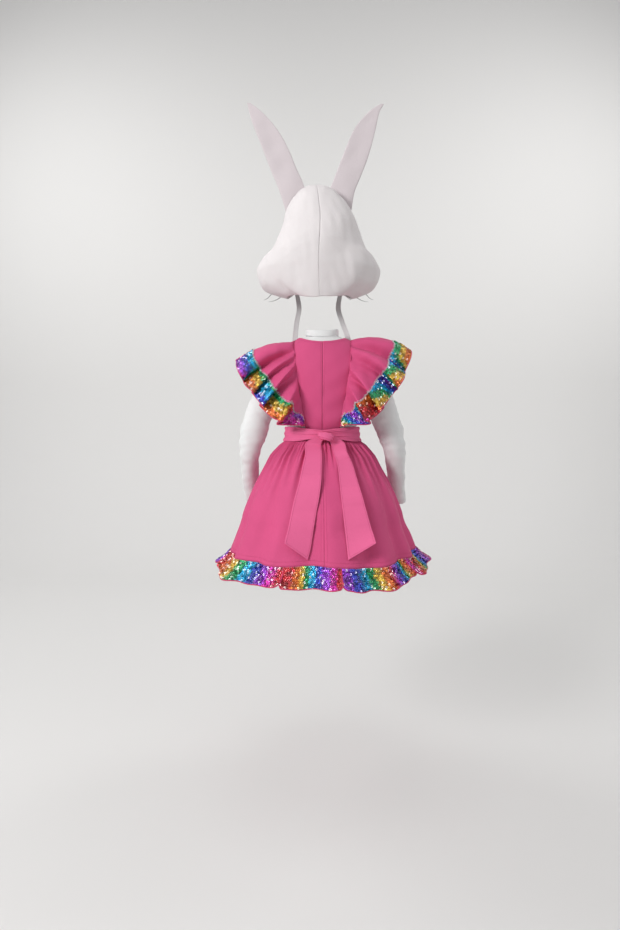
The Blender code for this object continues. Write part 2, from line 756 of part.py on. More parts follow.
# Sash tails: left x, left z, right x, right z, extra lift off the skirt, twist
TAIL_LEFT = [
    (-0.0160, -0.2620, 0.0040, -0.2700, 0.0000, 0.000),
    (-0.0450, -0.2830, -0.0040, -0.2850, 0.0000, 0.000),
    (-0.0470, -0.3120, -0.0030, -0.3120, 0.0020, 0.002),
    (-0.0540, -0.3450, -0.0040, -0.3440, 0.0030, 0.002),
    (-0.0620, -0.3800, -0.0060, -0.3780, 0.0020, -0.002),
    (-0.0720, -0.4150, -0.0110, -0.4150, 0.0010, -0.002),
    (-0.0800, -0.4500, -0.0180, -0.4520, 0.0000, 0.000),
    (-0.0870, -0.4850, -0.0250, -0.4920, 0.0010, 0.002),
    (-0.0930, -0.5080, -0.0320, -0.5350, 0.0020, 0.001),
    (-0.0950, -0.5200, -0.0390, -0.5600, 0.0020, 0.000),
]
TAIL_RIGHT = [
    (0.0105, -0.2700, 0.0290, -0.2620, 0.0000, 0.000),
    (0.0214, -0.2850, 0.0570, -0.2820, 0.0000, 0.000),
    (0.0270, -0.3060, 0.0620, -0.3040, 0.0030, -0.003),
    (0.0360, -0.3350, 0.0760, -0.3360, 0.0030, 0.003),
    (0.0400, -0.3750, 0.0860, -0.3740, 0.0020, 0.002),
    (0.0430, -0.4120, 0.0960, -0.4100, 0.0010, -0.002),
    (0.0470, -0.4500, 0.1050, -0.4450, 0.0000, 0.001),
    (0.0510, -0.4900, 0.1140, -0.4800, 0.0010, 0.002),
    (0.0550, -0.5330, 0.1210, -0.5050, 0.0020, 0.000),
    (0.0570, -0.5580, 0.1240, -0.5170, 0.0020, 0.000),
]
TAIL_TOP_Y = -0.0946


def skirt_back_y(x, z):
    """Depth of the skirt's outer face at the back."""
    share = (SKIRT_TOP_Z - z) / (SKIRT_TOP_Z - SKIRT_HEM_Z)
    angle = -math.pi / 2.0
    for _ in range(6):
        p = skirt_point(angle, share)
        radius = math.hypot(p[0], p[1])
        angle = -math.acos(min(max(x / radius, -0.95), 0.95))
    return skirt_point(angle, share)[1]


def tail_grid(table, rest_gap, rows, columns):
    """Points of a hanging sash tail that lies over the back of the skirt."""
    grid = []
    for row in curve(table, rows):
        spread = np.linspace(0.0, 1.0, 9)
        rest = min(skirt_back_y(blend(row[0], row[2], s), blend(row[1], row[3], s)) for s in spread)
        top = smooth_step(0.5 * (row[1] + row[3]), -0.300, -0.275)
        rest = blend(rest - rest_gap - row[4], TAIL_TOP_Y, top)
        line = []
        for c in range(columns):
            share = c / (columns - 1.0)
            x = blend(row[0], row[2], share)
            z = blend(row[1], row[3], share)
            y = rest - abs(row[5]) + row[5] * (share - 0.5) * 2.0
            line.append(np.array([x, y, z]))
        grid.append(line)
    return np.array(grid)


def make_tails():
    """Two tails below the knot with slanted ends."""
    for name, table, gap in (("sash_tail_left", TAIL_LEFT, 0.0050), ("sash_tail_right", TAIL_RIGHT, 0.0020)):
        wall(name, tail_grid(table, gap, 14, 5), SASH_WALL * 0.8, PINK_SATIN)


# Hood: height, half width, back depth, front depth, sideways lean
HOOD = [
    (0.4290, 0.0000, 0.0000, 0.0000, -0.0110),
    (0.4255, 0.0270, 0.0280, 0.0270, -0.0090),
    (0.4140, 0.0500, 0.0530, 0.0500, -0.0065),
    (0.3900, 0.0730, 0.0770, 0.0720, -0.0040),
    (0.3590, 0.0900, 0.0960, 0.0890, -0.0015),
    (0.3200, 0.1040, 0.1100, 0.1000, 0.0020),
    (0.2750, 0.1200, 0.1200, 0.1050, 0.0010),
    (0.2470, 0.1340, 0.1230, 0.1070, 0.0000),
    (0.2270, 0.1560, 0.1230, 0.1070, -0.0010),
    (0.1990, 0.1710, 0.1210, 0.1050, -0.0015),
    (0.1770, 0.1700, 0.1170, 0.1020, -0.0015),
    (0.1490, 0.1580, 0.1110, 0.0960, -0.0010),
    (0.1290, 0.1250, 0.1060, 0.0900, 0.0000),
    (0.1170, 0.0900, 0.1020, 0.0840, 0.0000),
]
BACK_TURN = -90.0
HOOD_MIDDLE = np.array([-0.009, 0.0, 0.25])
EAR_TURN = 8.0


def hood_point(turn, level):
    """Point of the hood's outer face on the right side; turn -90 is the back, +90 the front."""
    row = spline(np.array(HOOD), level)
    angle = math.radians(turn)
    c = math.cos(angle)
    s = math.sin(angle)
    lobe = smooth_step(level, 6.5, 8.5)
    power = blend(0.90, 1.12, lobe)
    x = row[1] * abs(c) ** power
    depth = row[2] if s < 0 else row[3]
    y = depth * math.copysign(abs(s) ** blend(0.90, 0.86, lobe), s)
    crease = math.exp(-((turn + 38.0) / 11.0) ** 2) * smooth_step(level, 9.0, 12.5)
    x -= 0.010 * crease
    rise = 0.0
    if level > 11.0:
        back = smooth_step(-turn, 25.0, 80.0)
        ahead = smooth_step(turn, 0.0, 70.0)
        rise = (-0.014 * back + 0.045 * ahead) * (level - 11.0) / 2.0
    return np.array([x, y, row[0] + rise])


def hood_side(turn, level, side):
    """Point on the left or right side, with the lean of the whole hood."""
    p = hood_point(turn, level)
    row = spline(np.array(HOOD), level)
    return np.array([side * p[0] + HOOD_CENTRE_X + row[4], p[1], p[2]])


def make_hood_back():
    """Two back panels that meet at the centre-back seam and end at the ear seam."""
    for name, side in (("hood_left", -1.0), ("hood_right", 1.0)):
        grid = []
        for level in curve([(v,) for v in range(14)], 17):
            line = []
            for c in range(-1, 12):
                if c < 0:
                    p = hood_side(blend(BACK_TURN, EAR_TURN, 0.1), level[0], -side)
                else:
                    p = hood_side(blend(BACK_TURN + 0.15, EAR_TURN, c / 10.0), level[0], side)
                p[0] += side * 0.00018
                line.append(p)
            grid.append(line)
        wall(name, grid, HOOD_WALL, WHITE_FLEECE, columns=(1, 12), middle=HOOD_MIDDLE, crown=True)


def opening_turn(level):
    """Turn of the face opening's edge at a level of the hood."""
    levels = [4.0, 4.12, 4.35, 4.8, 5.6, 7.0, 9.0, 11.0, 13.0]
    turns = [90.0, 79.0, 71.0, 65.0, 61.5, 62.0, 62.0, 58.0, 48.0]
    return float(np.interp(level, levels, turns))


def make_hood_front():
    """Brow and both cheeks in one panel, with an arched face opening that is open below."""
    points = []
    faces = []
    keep = []
    levels = (0.0, 1.0, 2.0, 3.0, 4.0, 4.12, 4.35, 4.8, 5.6, 6.7, 7.8, 8.8, 9.8, 10.8, 11.6, 12.3, 13.0)
    rows = len(levels)
    columns = 9
    for side in (1.0, -1.0):
        base = len(points)
        for level in levels:
            for c in range(-1, columns):
                turn = blend(EAR_TURN + 0.25, opening_turn(level), c / (columns - 1.0))
                if c >= 0:
                    keep.append(len(points))
                points.append(hood_side(turn, level, side) + np.array([0.0, 0.0005, 0.0]))
        for face in grid_faces(rows, columns + 1):
            ring = [corner + base for corner in face]
            faces.append(ring if side > 0 else ring[::-1])
    shell("hood_front", points, faces, HOOD_WALL, WHITE_FLEECE, 0.0, HOOD_MIDDLE, keep, True)


# Ear: share of the length, left x, left z, right x, right z, cup depth
EAR_LEFT = [
    (0.00, -0.1014, 0.3620, -0.0486, 0.4268, 0.0000),
    (0.14, -0.1200, 0.4210, -0.0570, 0.4510, 0.0010),
    (0.32, -0.1450, 0.4820, -0.0730, 0.4850, 0.0035),
    (0.50, -0.1680, 0.5410, -0.0910, 0.5290, 0.0055),
    (0.66, -0.1840, 0.5810, -0.1130, 0.5710, 0.0055),
    (0.80, -0.1960, 0.6120, -0.1410, 0.6090, 0.0040),
    (0.92, -0.2050, 0.6430, -0.1720, 0.6400, 0.0020),
    (1.00, -0.2090, 0.6610, -0.2000, 0.6600, 0.0000),
]
EAR_RIGHT = [
    (0.00, 0.0206, 0.4224, 0.0814, 0.3612, 0.0000),
    (0.14, 0.0340, 0.4560, 0.0910, 0.4180, 0.0010),
    (0.32, 0.0510, 0.5010, 0.1100, 0.4660, 0.0035),
    (0.50, 0.0680, 0.5440, 0.1270, 0.5100, 0.0055),
    (0.66, 0.0890, 0.5900, 0.1400, 0.5540, 0.0055),
    (0.80, 0.1140, 0.6220, 0.1500, 0.5950, 0.0040),
    (0.92, 0.1400, 0.6450, 0.1590, 0.6350, 0.0020),
    (1.00, 0.1630, 0.6580, 0.1710, 0.6580, 0.0000),
]
EAR_DEPTH = 0.0075
EAR_EDGE = 0.0022
EAR_Y = 0.002
EAR_ROOT = 0.0077


def ear_grid(table, rows, columns):
    """Middle sheet of an ear, base to tip, softly cupped."""
    grid = []
    for row in curve(table, rows, lambda t: t ** 0.92):
        line = []
        for c in range(columns):
            share = c / (columns - 1.0)
            x = blend(row[1], row[3], share)
            z = blend(row[2], row[4], share)
            bulge = EAR_ROOT * math.sin(math.pi * share) * (1.0 - min(row[0] / 0.35, 1.0)) ** 2
            x += bulge * 0.77 * math.copysign(1.0, row[1] + row[3])
            z += bulge * 0.64
            y = EAR_Y + row[5] * math.sin(math.pi * share) - 0.012 * row[0] ** 2
            line.append(np.array([x, y, z]))
        grid.append(line)
    return np.array(grid)


def make_ears():
    """Back and front panel of each padded ear, the seam along the edge."""
    for name, table in (("left", EAR_LEFT), ("right", EAR_RIGHT)):
        rows = 12
        columns = 6
        middle = ear_grid(table, rows, columns)
        for face, sign in (("back", -1.0), ("front", 1.0)):
            outer = np.zeros_like(middle)
            inner = np.zeros_like(middle)
            for r in range(rows):
                along = r / (rows - 1.0)
                for c in range(columns):
                    across = c / (columns - 1.0)
                    full = math.sin(math.pi * across) ** 0.6 if 0.0 < across < 1.0 else 0.0
                    full *= (1.0 - along ** 5) * (0.7 + 0.3 * smooth_step(along, 0.0, 0.15))
                    puff = EAR_EDGE + (EAR_DEPTH - EAR_EDGE) * full
                    inner[r, c] = middle[r, c] + np.array([0.0, sign * 0.00015, 0.0])
                    outer[r, c] = middle[r, c] + np.array([0.0, sign * (0.00015 + puff), 0.0])
            block("ear_%s_%s" % (name, face), outer, inner, WHITE_FLEECE)


# Tie ribbons, right side: x, depth and height of the middle, and the direction of the width in degrees
RIBBON = [
    (0.0570, 0.0580, 0.1050, -22.0),
    (0.0660, 0.0540, 0.0620, -14.0),
    (0.0740, 0.0480, 0.0260, -6.0),
    (0.0775, 0.0440, 0.0040, 0.0),
    (0.0780, 0.0450, -0.0160, 0.0),
    (0.0780, 0.0545, -0.0300, 2.0),
    (0.0780, 0.0648, -0.0480, 8.0),
    (0.0780, 0.0728, -0.0660, 19.0),
    (0.0780, 0.0788, -0.0860, 30.0),
    (0.0775, 0.0838, -0.1050, 40.0),
    (0.0775, 0.0890, -0.1240, 42.0),
    (0.0770, 0.0933, -0.1400, 42.0),
    (0.0770, 0.0958, -0.1560, 37.0),
    (0.0765, 0.0975, -0.1660, 32.0),
]
RIBBON_WIDTH = 0.015
RIBBON_INSET = 0.0090
RIBBON_TURN = 41.0


def hood_normal(turn, level, side):
    """Outward direction of the hood's face."""
    across = hood_side(turn + 1.0, level, side) - hood_side(turn - 1.0, level, side)
    down = hood_side(turn, min(level + 0.1, 13.0), side) - hood_side(turn, level - 0.1, side)
    normal = np.cross(down, across) * side
    normal = normal / np.linalg.norm(normal)
    return normal if normal[1] > 0.0 else -normal


def make_ribbons():
    """Two tie ribbons sewn inside the hood's lower front corners, hanging over the shoulders."""
    for name, side in (("ribbon_left", -1.0), ("ribbon_right", 1.0)):
        middles = []
        for level in (12.3, 13.0):
            p = hood_side(RIBBON_TURN, level, side) - hood_normal(RIBBON_TURN, level, side) * RIBBON_INSET
            along = hood_side(RIBBON_TURN - 3.0, level, side) - hood_side(RIBBON_TURN + 3.0, level, side)
            middles.append((side * p[0], p[1], p[2], math.degrees(math.atan2(along[1], side * along[0]))))
        hanging = []
        for number, (x, y, z, turn) in enumerate(RIBBON):
            sway = HOOD_CENTRE_X * side * (1.0 - smooth_step(number, 0.0, 3.0))
            hanging.append((x + sway, y, z, turn))
        grid = []
        for x, y, z, turn in curve(middles + hanging, 18):
            across = np.array([math.cos(math.radians(turn)), math.sin(math.radians(turn)), 0.0])
            line = []
            for c in range(3):
                p = np.array([x, y, z]) + across * RIBBON_WIDTH * (c / 2.0 - 0.5)
                line.append(p * np.array([side, 1.0, 1.0]))
            grid.append(line)
        wall(name, grid, RIBBON_WALL, RIBBON_CLOTH)


# Whiskers: side, turn and level of the root on the hood, then the way to the tip
WHISKERS = [
    ("whisker_left_upper", -1.0, 14.0, 11.6, (-0.0200, -0.0030, -0.0160)),
    ("whisker_left_lower", -1.0, 19.0, 12.25, (-0.0330, -0.0030, -0.0130)),
    ("whisker_right_upper", 1.0, 14.0, 11.6, (0.0200, -0.0030, -0.0160)),
    ("whisker_right_lower", 1.0, 19.0, 12.3, (0.0330, -0.0030, -0.0130)),
]


def make_whiskers():
    """Thin tapered whiskers on the cheeks."""
    for name, side, turn, level, reach in WHISKERS:
        a = hood_side(turn, level, side) + hood_normal(turn, level, side) * 0.0012
        b = a + np.array(reach)
        along = (b - a) / np.linalg.norm(b - a)
        u = np.cross(along, np.array([0.0, 0.0, 1.0]))
        u = u / np.linalg.norm(u)
        v = np.cross(along, u)
        points = []
        faces = []
        for r in range(4):
            share = r / 3.0
            radius = blend(0.0011, 0.0005, share)
            middle = blend(a, b, share) + np.array([0.0, 0.0, -0.003 * math.sin(math.pi * share)])
            for c in range(6):
                turn = math.pi * c / 3.0
                points.append(middle + (u * math.cos(turn) + v * math.sin(turn)) * radius)
        for r in range(3):
            for c in range(6):
                d = (c + 1) % 6
                faces.append([r * 6 + c, r * 6 + d, (r + 1) * 6 + d, (r + 1) * 6 + c])
        faces.append([5, 4, 3, 2, 1, 0])
        faces.append([18, 19, 20, 21, 22, 23])
        link_mesh(name, points, faces, WHISKER_PLASTIC)


make_top_body()
make_collar()
make_sleeve("shirt_sleeve_left", SLEEVE_LEFT, -1.0)
make_sleeve("shirt_sleeve_right", SLEEVE_RIGHT, 1.0)
make_bodice()
make_ruffles()
make_skirt()
make_flounce()
make_sash_band()
make_knot()
make_tails()
make_hood_back()
make_hood_front()
make_ears()
make_ribbons()
make_whiskers()
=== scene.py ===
# %% [markdown]
# # A child's rabbit costume, dressed with cloth, sequins and thread
#
# The costume is a set: a white hood with ears, a white long-sleeved top, and a pink pinafore dress
# with shoulder ruffles, rainbow sequin trims, a tied sash and a sequin flounce round the hem. The
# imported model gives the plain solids. This lesson makes the cloth that one sees: thin shells with
# folds, woven and fleecy finishes, thousands of sequins and the lines of sewing.

# %% Load the frame
import math

import bmesh
import bpy
import mathutils
import numpy as np
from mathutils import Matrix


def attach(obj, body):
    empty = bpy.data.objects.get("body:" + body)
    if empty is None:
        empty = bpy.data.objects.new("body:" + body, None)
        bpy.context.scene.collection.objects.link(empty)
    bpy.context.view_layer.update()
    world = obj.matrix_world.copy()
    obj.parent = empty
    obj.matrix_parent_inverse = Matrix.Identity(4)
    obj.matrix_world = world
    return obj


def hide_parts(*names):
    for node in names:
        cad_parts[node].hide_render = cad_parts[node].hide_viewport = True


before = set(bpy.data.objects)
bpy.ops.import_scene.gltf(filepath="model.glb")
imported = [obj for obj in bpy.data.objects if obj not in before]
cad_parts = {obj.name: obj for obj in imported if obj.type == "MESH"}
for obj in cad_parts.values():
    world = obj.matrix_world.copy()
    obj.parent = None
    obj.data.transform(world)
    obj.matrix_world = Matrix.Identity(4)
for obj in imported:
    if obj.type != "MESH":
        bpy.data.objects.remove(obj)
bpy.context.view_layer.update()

# %% [markdown]
# ## Short helpers
#
# Every material and every geometry tree is a set of nodes with values and links, and every piece
# is a mesh in the scene. These few helpers say that in one line each, so that the cells below show
# the cloth and not the bookkeeping.

# %% Nodes, objects and plain results
def wire(tree, item, sockets):
    """Fills a node's input sockets: a link from another node's output, or else a value."""
    for key, value in sockets.items():
        if isinstance(value, bpy.types.NodeSocket):
            tree.links.new(value, item.inputs[key])
        else:
            item.inputs[key].default_value = value
    return item


def node(tree, kind, sockets=None, **settings):
    """A new node with its settings, input values and input links."""
    made = tree.nodes.new(kind)
    for key, value in settings.items():
        setattr(made, key, value)
    return wire(tree, made, sockets or {})


def new_material(name):
    """A material with its node tree and its shader."""
    made = bpy.data.materials.new(name)
    made.use_nodes = True
    return made, made.node_tree, made.node_tree.nodes["Principled BSDF"]


def put(name, data):
    """An object with this data, linked to the scene."""
    item = bpy.data.objects.new(name, data)
    bpy.context.scene.collection.objects.link(item)
    return item


def keep_result(item):
    """Replaces a mesh by what its modifiers make of it, and drops the modifiers."""
    graph = bpy.context.evaluated_depsgraph_get()
    result = bpy.data.meshes.new_from_object(item.evaluated_get(graph))
    item.modifiers.clear()
    item.data = result


def belongs(item, solid):
    """Ties a piece to the one body and hides the plain solid it stands for."""
    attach(item, "root")
    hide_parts(solid)


# %% [markdown]
# ## Camera, floor and light
#
# A product photograph of clothing is taken from a few steps away, level with the chest. The camera
# here stands 1.68 m behind the costume and looks level. A small vertical shift frames the set, as
# a view camera does, so upright edges stay upright. The backdrop is one pale sheet that curves
# from floor to wall, so that no horizon line shows. The main soft light stands to the left, as in
# the photograph.

# %% Camera, backdrop and lights
CAMERA_PLACE = (-0.034, -1.68, -0.235)
KEY_PLACE = (-2.0, -2.1, 0.85)
FOCAL_PIXELS = 600.0
IMAGE_HEIGHT = 930.0
HORIZON_BELOW_MIDDLE = -40.0
FLOOR_Z = -1.235
PALE_GREY = (0.735, 0.728, 0.715, 1.0)


def plain_material(name, colour, roughness):
    """A matt material with a faint mottle, for backdrop paper and plastic thread."""
    made, tree, shader = new_material(name)
    mottle = node(tree, "ShaderNodeTexNoise", {"Scale": 3.0}).outputs["Fac"]
    darker = tuple(c * 0.985 for c in colour[:3]) + (1.0,)
    tone = node(tree, "ShaderNodeMix", {"Factor": mottle, "A": colour, "B": darker}, data_type="RGBA")
    wire(tree, shader, {"Base Color": tone.outputs["Result"], "Roughness": roughness,
                        "Specular IOR Level": 0.15})
    return made


def make_backdrop():
    """A floor that curves up into a wall."""
    profile = [(-6.0, 0.0), (2.2, 0.0)]
    profile += [(2.2 + 1.4 * math.sin(a), 1.4 - 1.4 * math.cos(a))
                for a in np.linspace(0.1, math.pi / 2, 12)]
    profile += [(3.6, 6.5)]
    points = []
    for y, z in profile:
        points += [(-7.0, y, FLOOR_Z + z), (7.0, y, FLOOR_Z + z)]
    faces = [(2 * i, 2 * i + 1, 2 * i + 3, 2 * i + 2) for i in range(len(profile) - 1)]
    data = bpy.data.meshes.new("backdrop")
    data.from_pydata(points, [], faces)
    data.shade_smooth()
    data.materials.append(plain_material("backdrop_paper", PALE_GREY, 0.95))
    put("backdrop", data)


def area_light(name, place, target, size, power):
    """A square soft light that faces a point."""
    data = bpy.data.lights.new(name, "AREA")
    data.shape = "SQUARE"
    data.size = size
    data.energy = power
    item = put(name, data)
    item.location = place
    way = np.array(target) - np.array(place)
    flat = math.hypot(way[0], way[1])
    item.rotation_euler = (math.pi / 2 + math.atan2(way[2], flat), 0.0, math.atan2(-way[0], way[1]))


camera_data = bpy.data.cameras.new("camera")
camera_data.sensor_fit = "VERTICAL"
camera_data.sensor_height = 36.0
camera_data.lens = 36.0 * FOCAL_PIXELS / IMAGE_HEIGHT
camera_data.shift_y = HORIZON_BELOW_MIDDLE / IMAGE_HEIGHT
camera = put("camera", camera_data)
camera.location = CAMERA_PLACE
camera.rotation_euler = (math.pi / 2, 0.0, 0.0)
bpy.context.scene.camera = camera

make_backdrop()
area_light("key_left", KEY_PLACE, (0.0, 0.0, -0.05), 0.9, 66.0)
area_light("fill_right", (2.4, -1.9, 0.6), (0.0, 0.0, -0.1), 2.0, 17.0)
area_light("top", (-0.3, -0.5, 2.6), (0.0, 0.2, 0.0), 1.6, 15.0)
area_light("wall_wash_left", (-2.6, 1.2, 2.2), (-0.6, 3.6, 0.2), 2.0, 46.0)
area_light("wall_wash_right", (2.6, 1.2, 2.2), (0.6, 3.6, 0.2), 2.0, 46.0)
world = bpy.data.worlds.new("soft_room")
world.use_nodes = True
wire(world.node_tree, world.node_tree.nodes["Background"],
     {"Color": (0.90, 0.90, 0.92, 1.0), "Strength": 0.37})
bpy.context.scene.world = world
bpy.context.scene.view_settings.view_transform = "Standard"

# %% [markdown]
# ## Two tools for cloth: smooth tables and thin shells
#
# Patterns are described by a few measured sizes at chosen heights, and the cloth runs smoothly
# through them. The first helper reads such a table anywhere between its rows. The second turns a
# grid of points into a sheet with a real thickness: it copies the grid inwards and closes the rim.
# Each point also gets a UV place in metres, measured along the cloth, so that a weave later has
# its true scale.

# %% Read a table of sizes at any place
def rows_at(table, place):
    """Catmull-Rom values of a table's rows at fractional row numbers."""
    rows = np.array(table, dtype=float)
    last = len(rows) - 1
    place = np.clip(np.asarray(place, dtype=float), 0.0, last)
    low = np.minimum(place.astype(int), last - 1)
    t = (place - low)[..., None]
    p1 = rows[low]
    p2 = rows[low + 1]
    p0 = np.where((low > 0)[..., None], rows[np.maximum(low - 1, 0)], 2.0 * p1 - p2)
    p3 = np.where((low + 2 <= last)[..., None], rows[np.minimum(low + 2, last)], 2.0 * p2 - p1)
    return 0.5 * (2.0 * p1 + (p2 - p0) * t + (2.0 * p0 - 5.0 * p1 + 4.0 * p2 - p3) * t * t
                  + (3.0 * p1 - p0 - 3.0 * p2 + p3) * t * t * t)


def rows_by_key(table, key):
    """Values of a table looked up by its first column."""
    rows = np.array(table, dtype=float)
    keys = rows[:, 0]
    sign = 1.0 if keys[-1] > keys[0] else -1.0
    place = np.interp(np.asarray(key) * sign, keys * sign, np.arange(len(keys)))
    return rows_at(rows[:, 1:], place)


def soft(value, low, high):
    """Zero below low, one above high, with a soft step between."""
    t = np.clip((np.asarray(value, dtype=float) - low) / (high - low), 0.0, 1.0)
    return t * t * (3.0 - 2.0 * t)


def mix(a, b, share):
    """Straight mix of two values."""
    return a + (b - a) * share


def stack(x, y, z):
    """Points from three arrays."""
    x, y, z = np.broadcast_arrays(x, y, z)
    return np.stack([x, y, z], axis=-1)


def unit(vectors):
    """Vectors brought to length one."""
    length = np.linalg.norm(vectors, axis=-1, keepdims=True)
    return vectors / np.maximum(length, 1e-12)


def ripples(points, wavelength, seed, count=7):
    """Soft seeded waves through space, between about -1 and 1, for small unevenness in cloth."""
    dice = np.random.default_rng(seed)
    total = np.zeros(points.shape[:-1])
    for _ in range(count):
        way = dice.normal(size=3)
        way = way / np.linalg.norm(way) * 2.0 * math.pi / (wavelength * dice.uniform(0.75, 1.35))
        total += np.sin(points @ way + dice.uniform(0.0, 6.28))
    return total / math.sqrt(count)


def path_of(line):
    """Lengths from a line's first point to each of its points."""
    steps = np.linalg.norm(np.diff(line, axis=0), axis=1)
    return np.concatenate([[0.0], np.cumsum(steps)])


def on_path(place, path, values):
    """Values of a line read at lengths along its path."""
    return np.stack([np.interp(place, path, values[:, k]) for k in range(3)], axis=1)


print("halfway between the rows 1, 4 and 2:", rows_at([(1.0,), (4.0,), (2.0,)], [0.5, 1.5])[:, 0])


# %% Make a shell of cloth from a grid
def grid_normals(grid, closed=False):
    """Unit normals of a grid of points."""
    if closed:
        across = np.roll(grid, -1, axis=1) - np.roll(grid, 1, axis=1)
    else:
        across = np.gradient(grid, axis=1)
    down = np.gradient(grid, axis=0)
    return unit(np.cross(across, down))


def facing(grid, middle, closed=False):
    """Normals that point away from the middle."""
    normals = grid_normals(grid, closed)
    if np.sum(normals * (grid - middle)) < 0.0:
        normals = -normals
    return normals


def axis_of(grid):
    """Points on the upright middle line at the grid's own heights."""
    return grid * np.array([0.0, 0.0, 1.0])


def grid_uv(grid):
    """Places in metres along the cloth, columns then rows."""
    steps = np.linalg.norm(np.diff(grid, axis=1), axis=2)
    across = np.concatenate([np.zeros((1, 1)), np.cumsum(steps.mean(axis=0))[None]], axis=1)
    drops = np.linalg.norm(np.diff(grid, axis=0), axis=2)
    down = np.concatenate([np.zeros((1, 1)), np.cumsum(drops.mean(axis=1))[None]], axis=1)
    u = np.repeat(across, grid.shape[0], axis=0)
    v = np.repeat(down.T, grid.shape[1], axis=1)
    return np.stack([u, v], axis=2)


def point_values(data, name, values):
    """Stores a vector (three columns) or a colour (four columns) for each point of a mesh."""
    colour = values.shape[1] == 4
    layer = data.attributes.new(name, "FLOAT_COLOR" if colour else "FLOAT_VECTOR", "POINT")
    layer.data.foreach_set("color" if colour else "vector", values.astype(np.float32).ravel())


def opaque(colours):
    """Colours with a fourth column of ones."""
    return np.concatenate([colours, np.ones((len(colours), 1))], axis=1)


def mesh_object(name, points, faces, material, uv=None, colours=None):
    """A smooth mesh object at the origin with its own material, UV map and point colours."""
    data = bpy.data.meshes.new(name)
    data.from_pydata(points.tolist(), [], faces)
    data.shade_smooth()
    if uv is not None:
        layer = data.uv_layers.new(name="UVMap")
        corner = np.empty(len(data.loops), dtype=np.int64)
        data.loops.foreach_get("vertex_index", corner)
        layer.data.foreach_set("uv", uv[corner].astype(np.float32).ravel())
    if colours is not None:
        point_values(data, "tint", opaque(colours))
    data.materials.append(material)
    return put(name, data)


def cloth(name, grid, thickness, material, middle=None, closed=False, colours=None, inner=None):
    """A closed shell: the grid outside, its copy inside, and the rim between them."""
    rows, columns = grid.shape[:2]
    if middle is None:
        middle = grid.mean(axis=1, keepdims=True) if closed else axis_of(grid)
    outward = facing(grid, middle, closed)
    raw = grid_normals(grid, closed)
    turned = np.sum(raw * outward) < 0.0
    if inner is None:
        inner = grid - outward * thickness
    uv = grid_uv(grid).reshape(-1, 2)
    number = np.arange(rows * columns).reshape(rows, columns)
    a = number[:-1]
    b = number[1:]
    if closed:
        a2 = np.roll(a, -1, axis=1)
        b2 = np.roll(b, -1, axis=1)
    else:
        a, a2 = a[:, :-1], a[:, 1:]
        b, b2 = b[:, :-1], b[:, 1:]
    quads = np.stack([a, a2, b2, b], axis=-1).reshape(-1, 4)
    if turned:
        quads = quads[:, ::-1]
    count = rows * columns
    faces = quads.tolist() + (quads[:, ::-1] + count).tolist()
    borders = [number[0], number[-1][::-1]]
    if not closed:
        borders = [np.concatenate([number[0], number[1:, -1], number[-1, -2::-1],
                                   number[-2:0:-1, 0]])]
    for border in borders:
        following = np.roll(border, -1)
        rim = np.stack([following, border, border + count, following + count], axis=1)
        faces += (rim[:, ::-1] if turned else rim).tolist()
    points = np.concatenate([grid.reshape(-1, 3), inner.reshape(-1, 3)])
    both = None if colours is None else np.concatenate([colours.reshape(-1, 3)] * 2)
    item = mesh_object(name, points, faces, material, np.concatenate([uv, uv]), both)
    print(name, "has", 2 * len(faces), "triangles")
    return item


sample = stack(np.array([[0.0, 0.1], [0.0, 0.1]]), np.array([[0.0, 0.0], [0.1, 0.1]]), 0.0)
print("a flat sheet of 10 by 10 cm faces", grid_normals(sample)[0, 0])

# %% [markdown]
# ## Woven and fleecy finishes
#
# Cloth looks like cloth because of three things at once: threads that cross at a real spacing, a
# soft sheen at grazing angles from the fibres, and small changes of tone where it has been
# handled. The UV places are in metres, so two crossed wave patterns at a few threads per
# millimetre make the weave, and the same pattern lifts the surface a few hundredths of a
# millimetre. A larger noise shifts the tone.

# %% A cloth material
WAVE_SCALE = 1000.0 * 2.0 * math.pi / 20.0


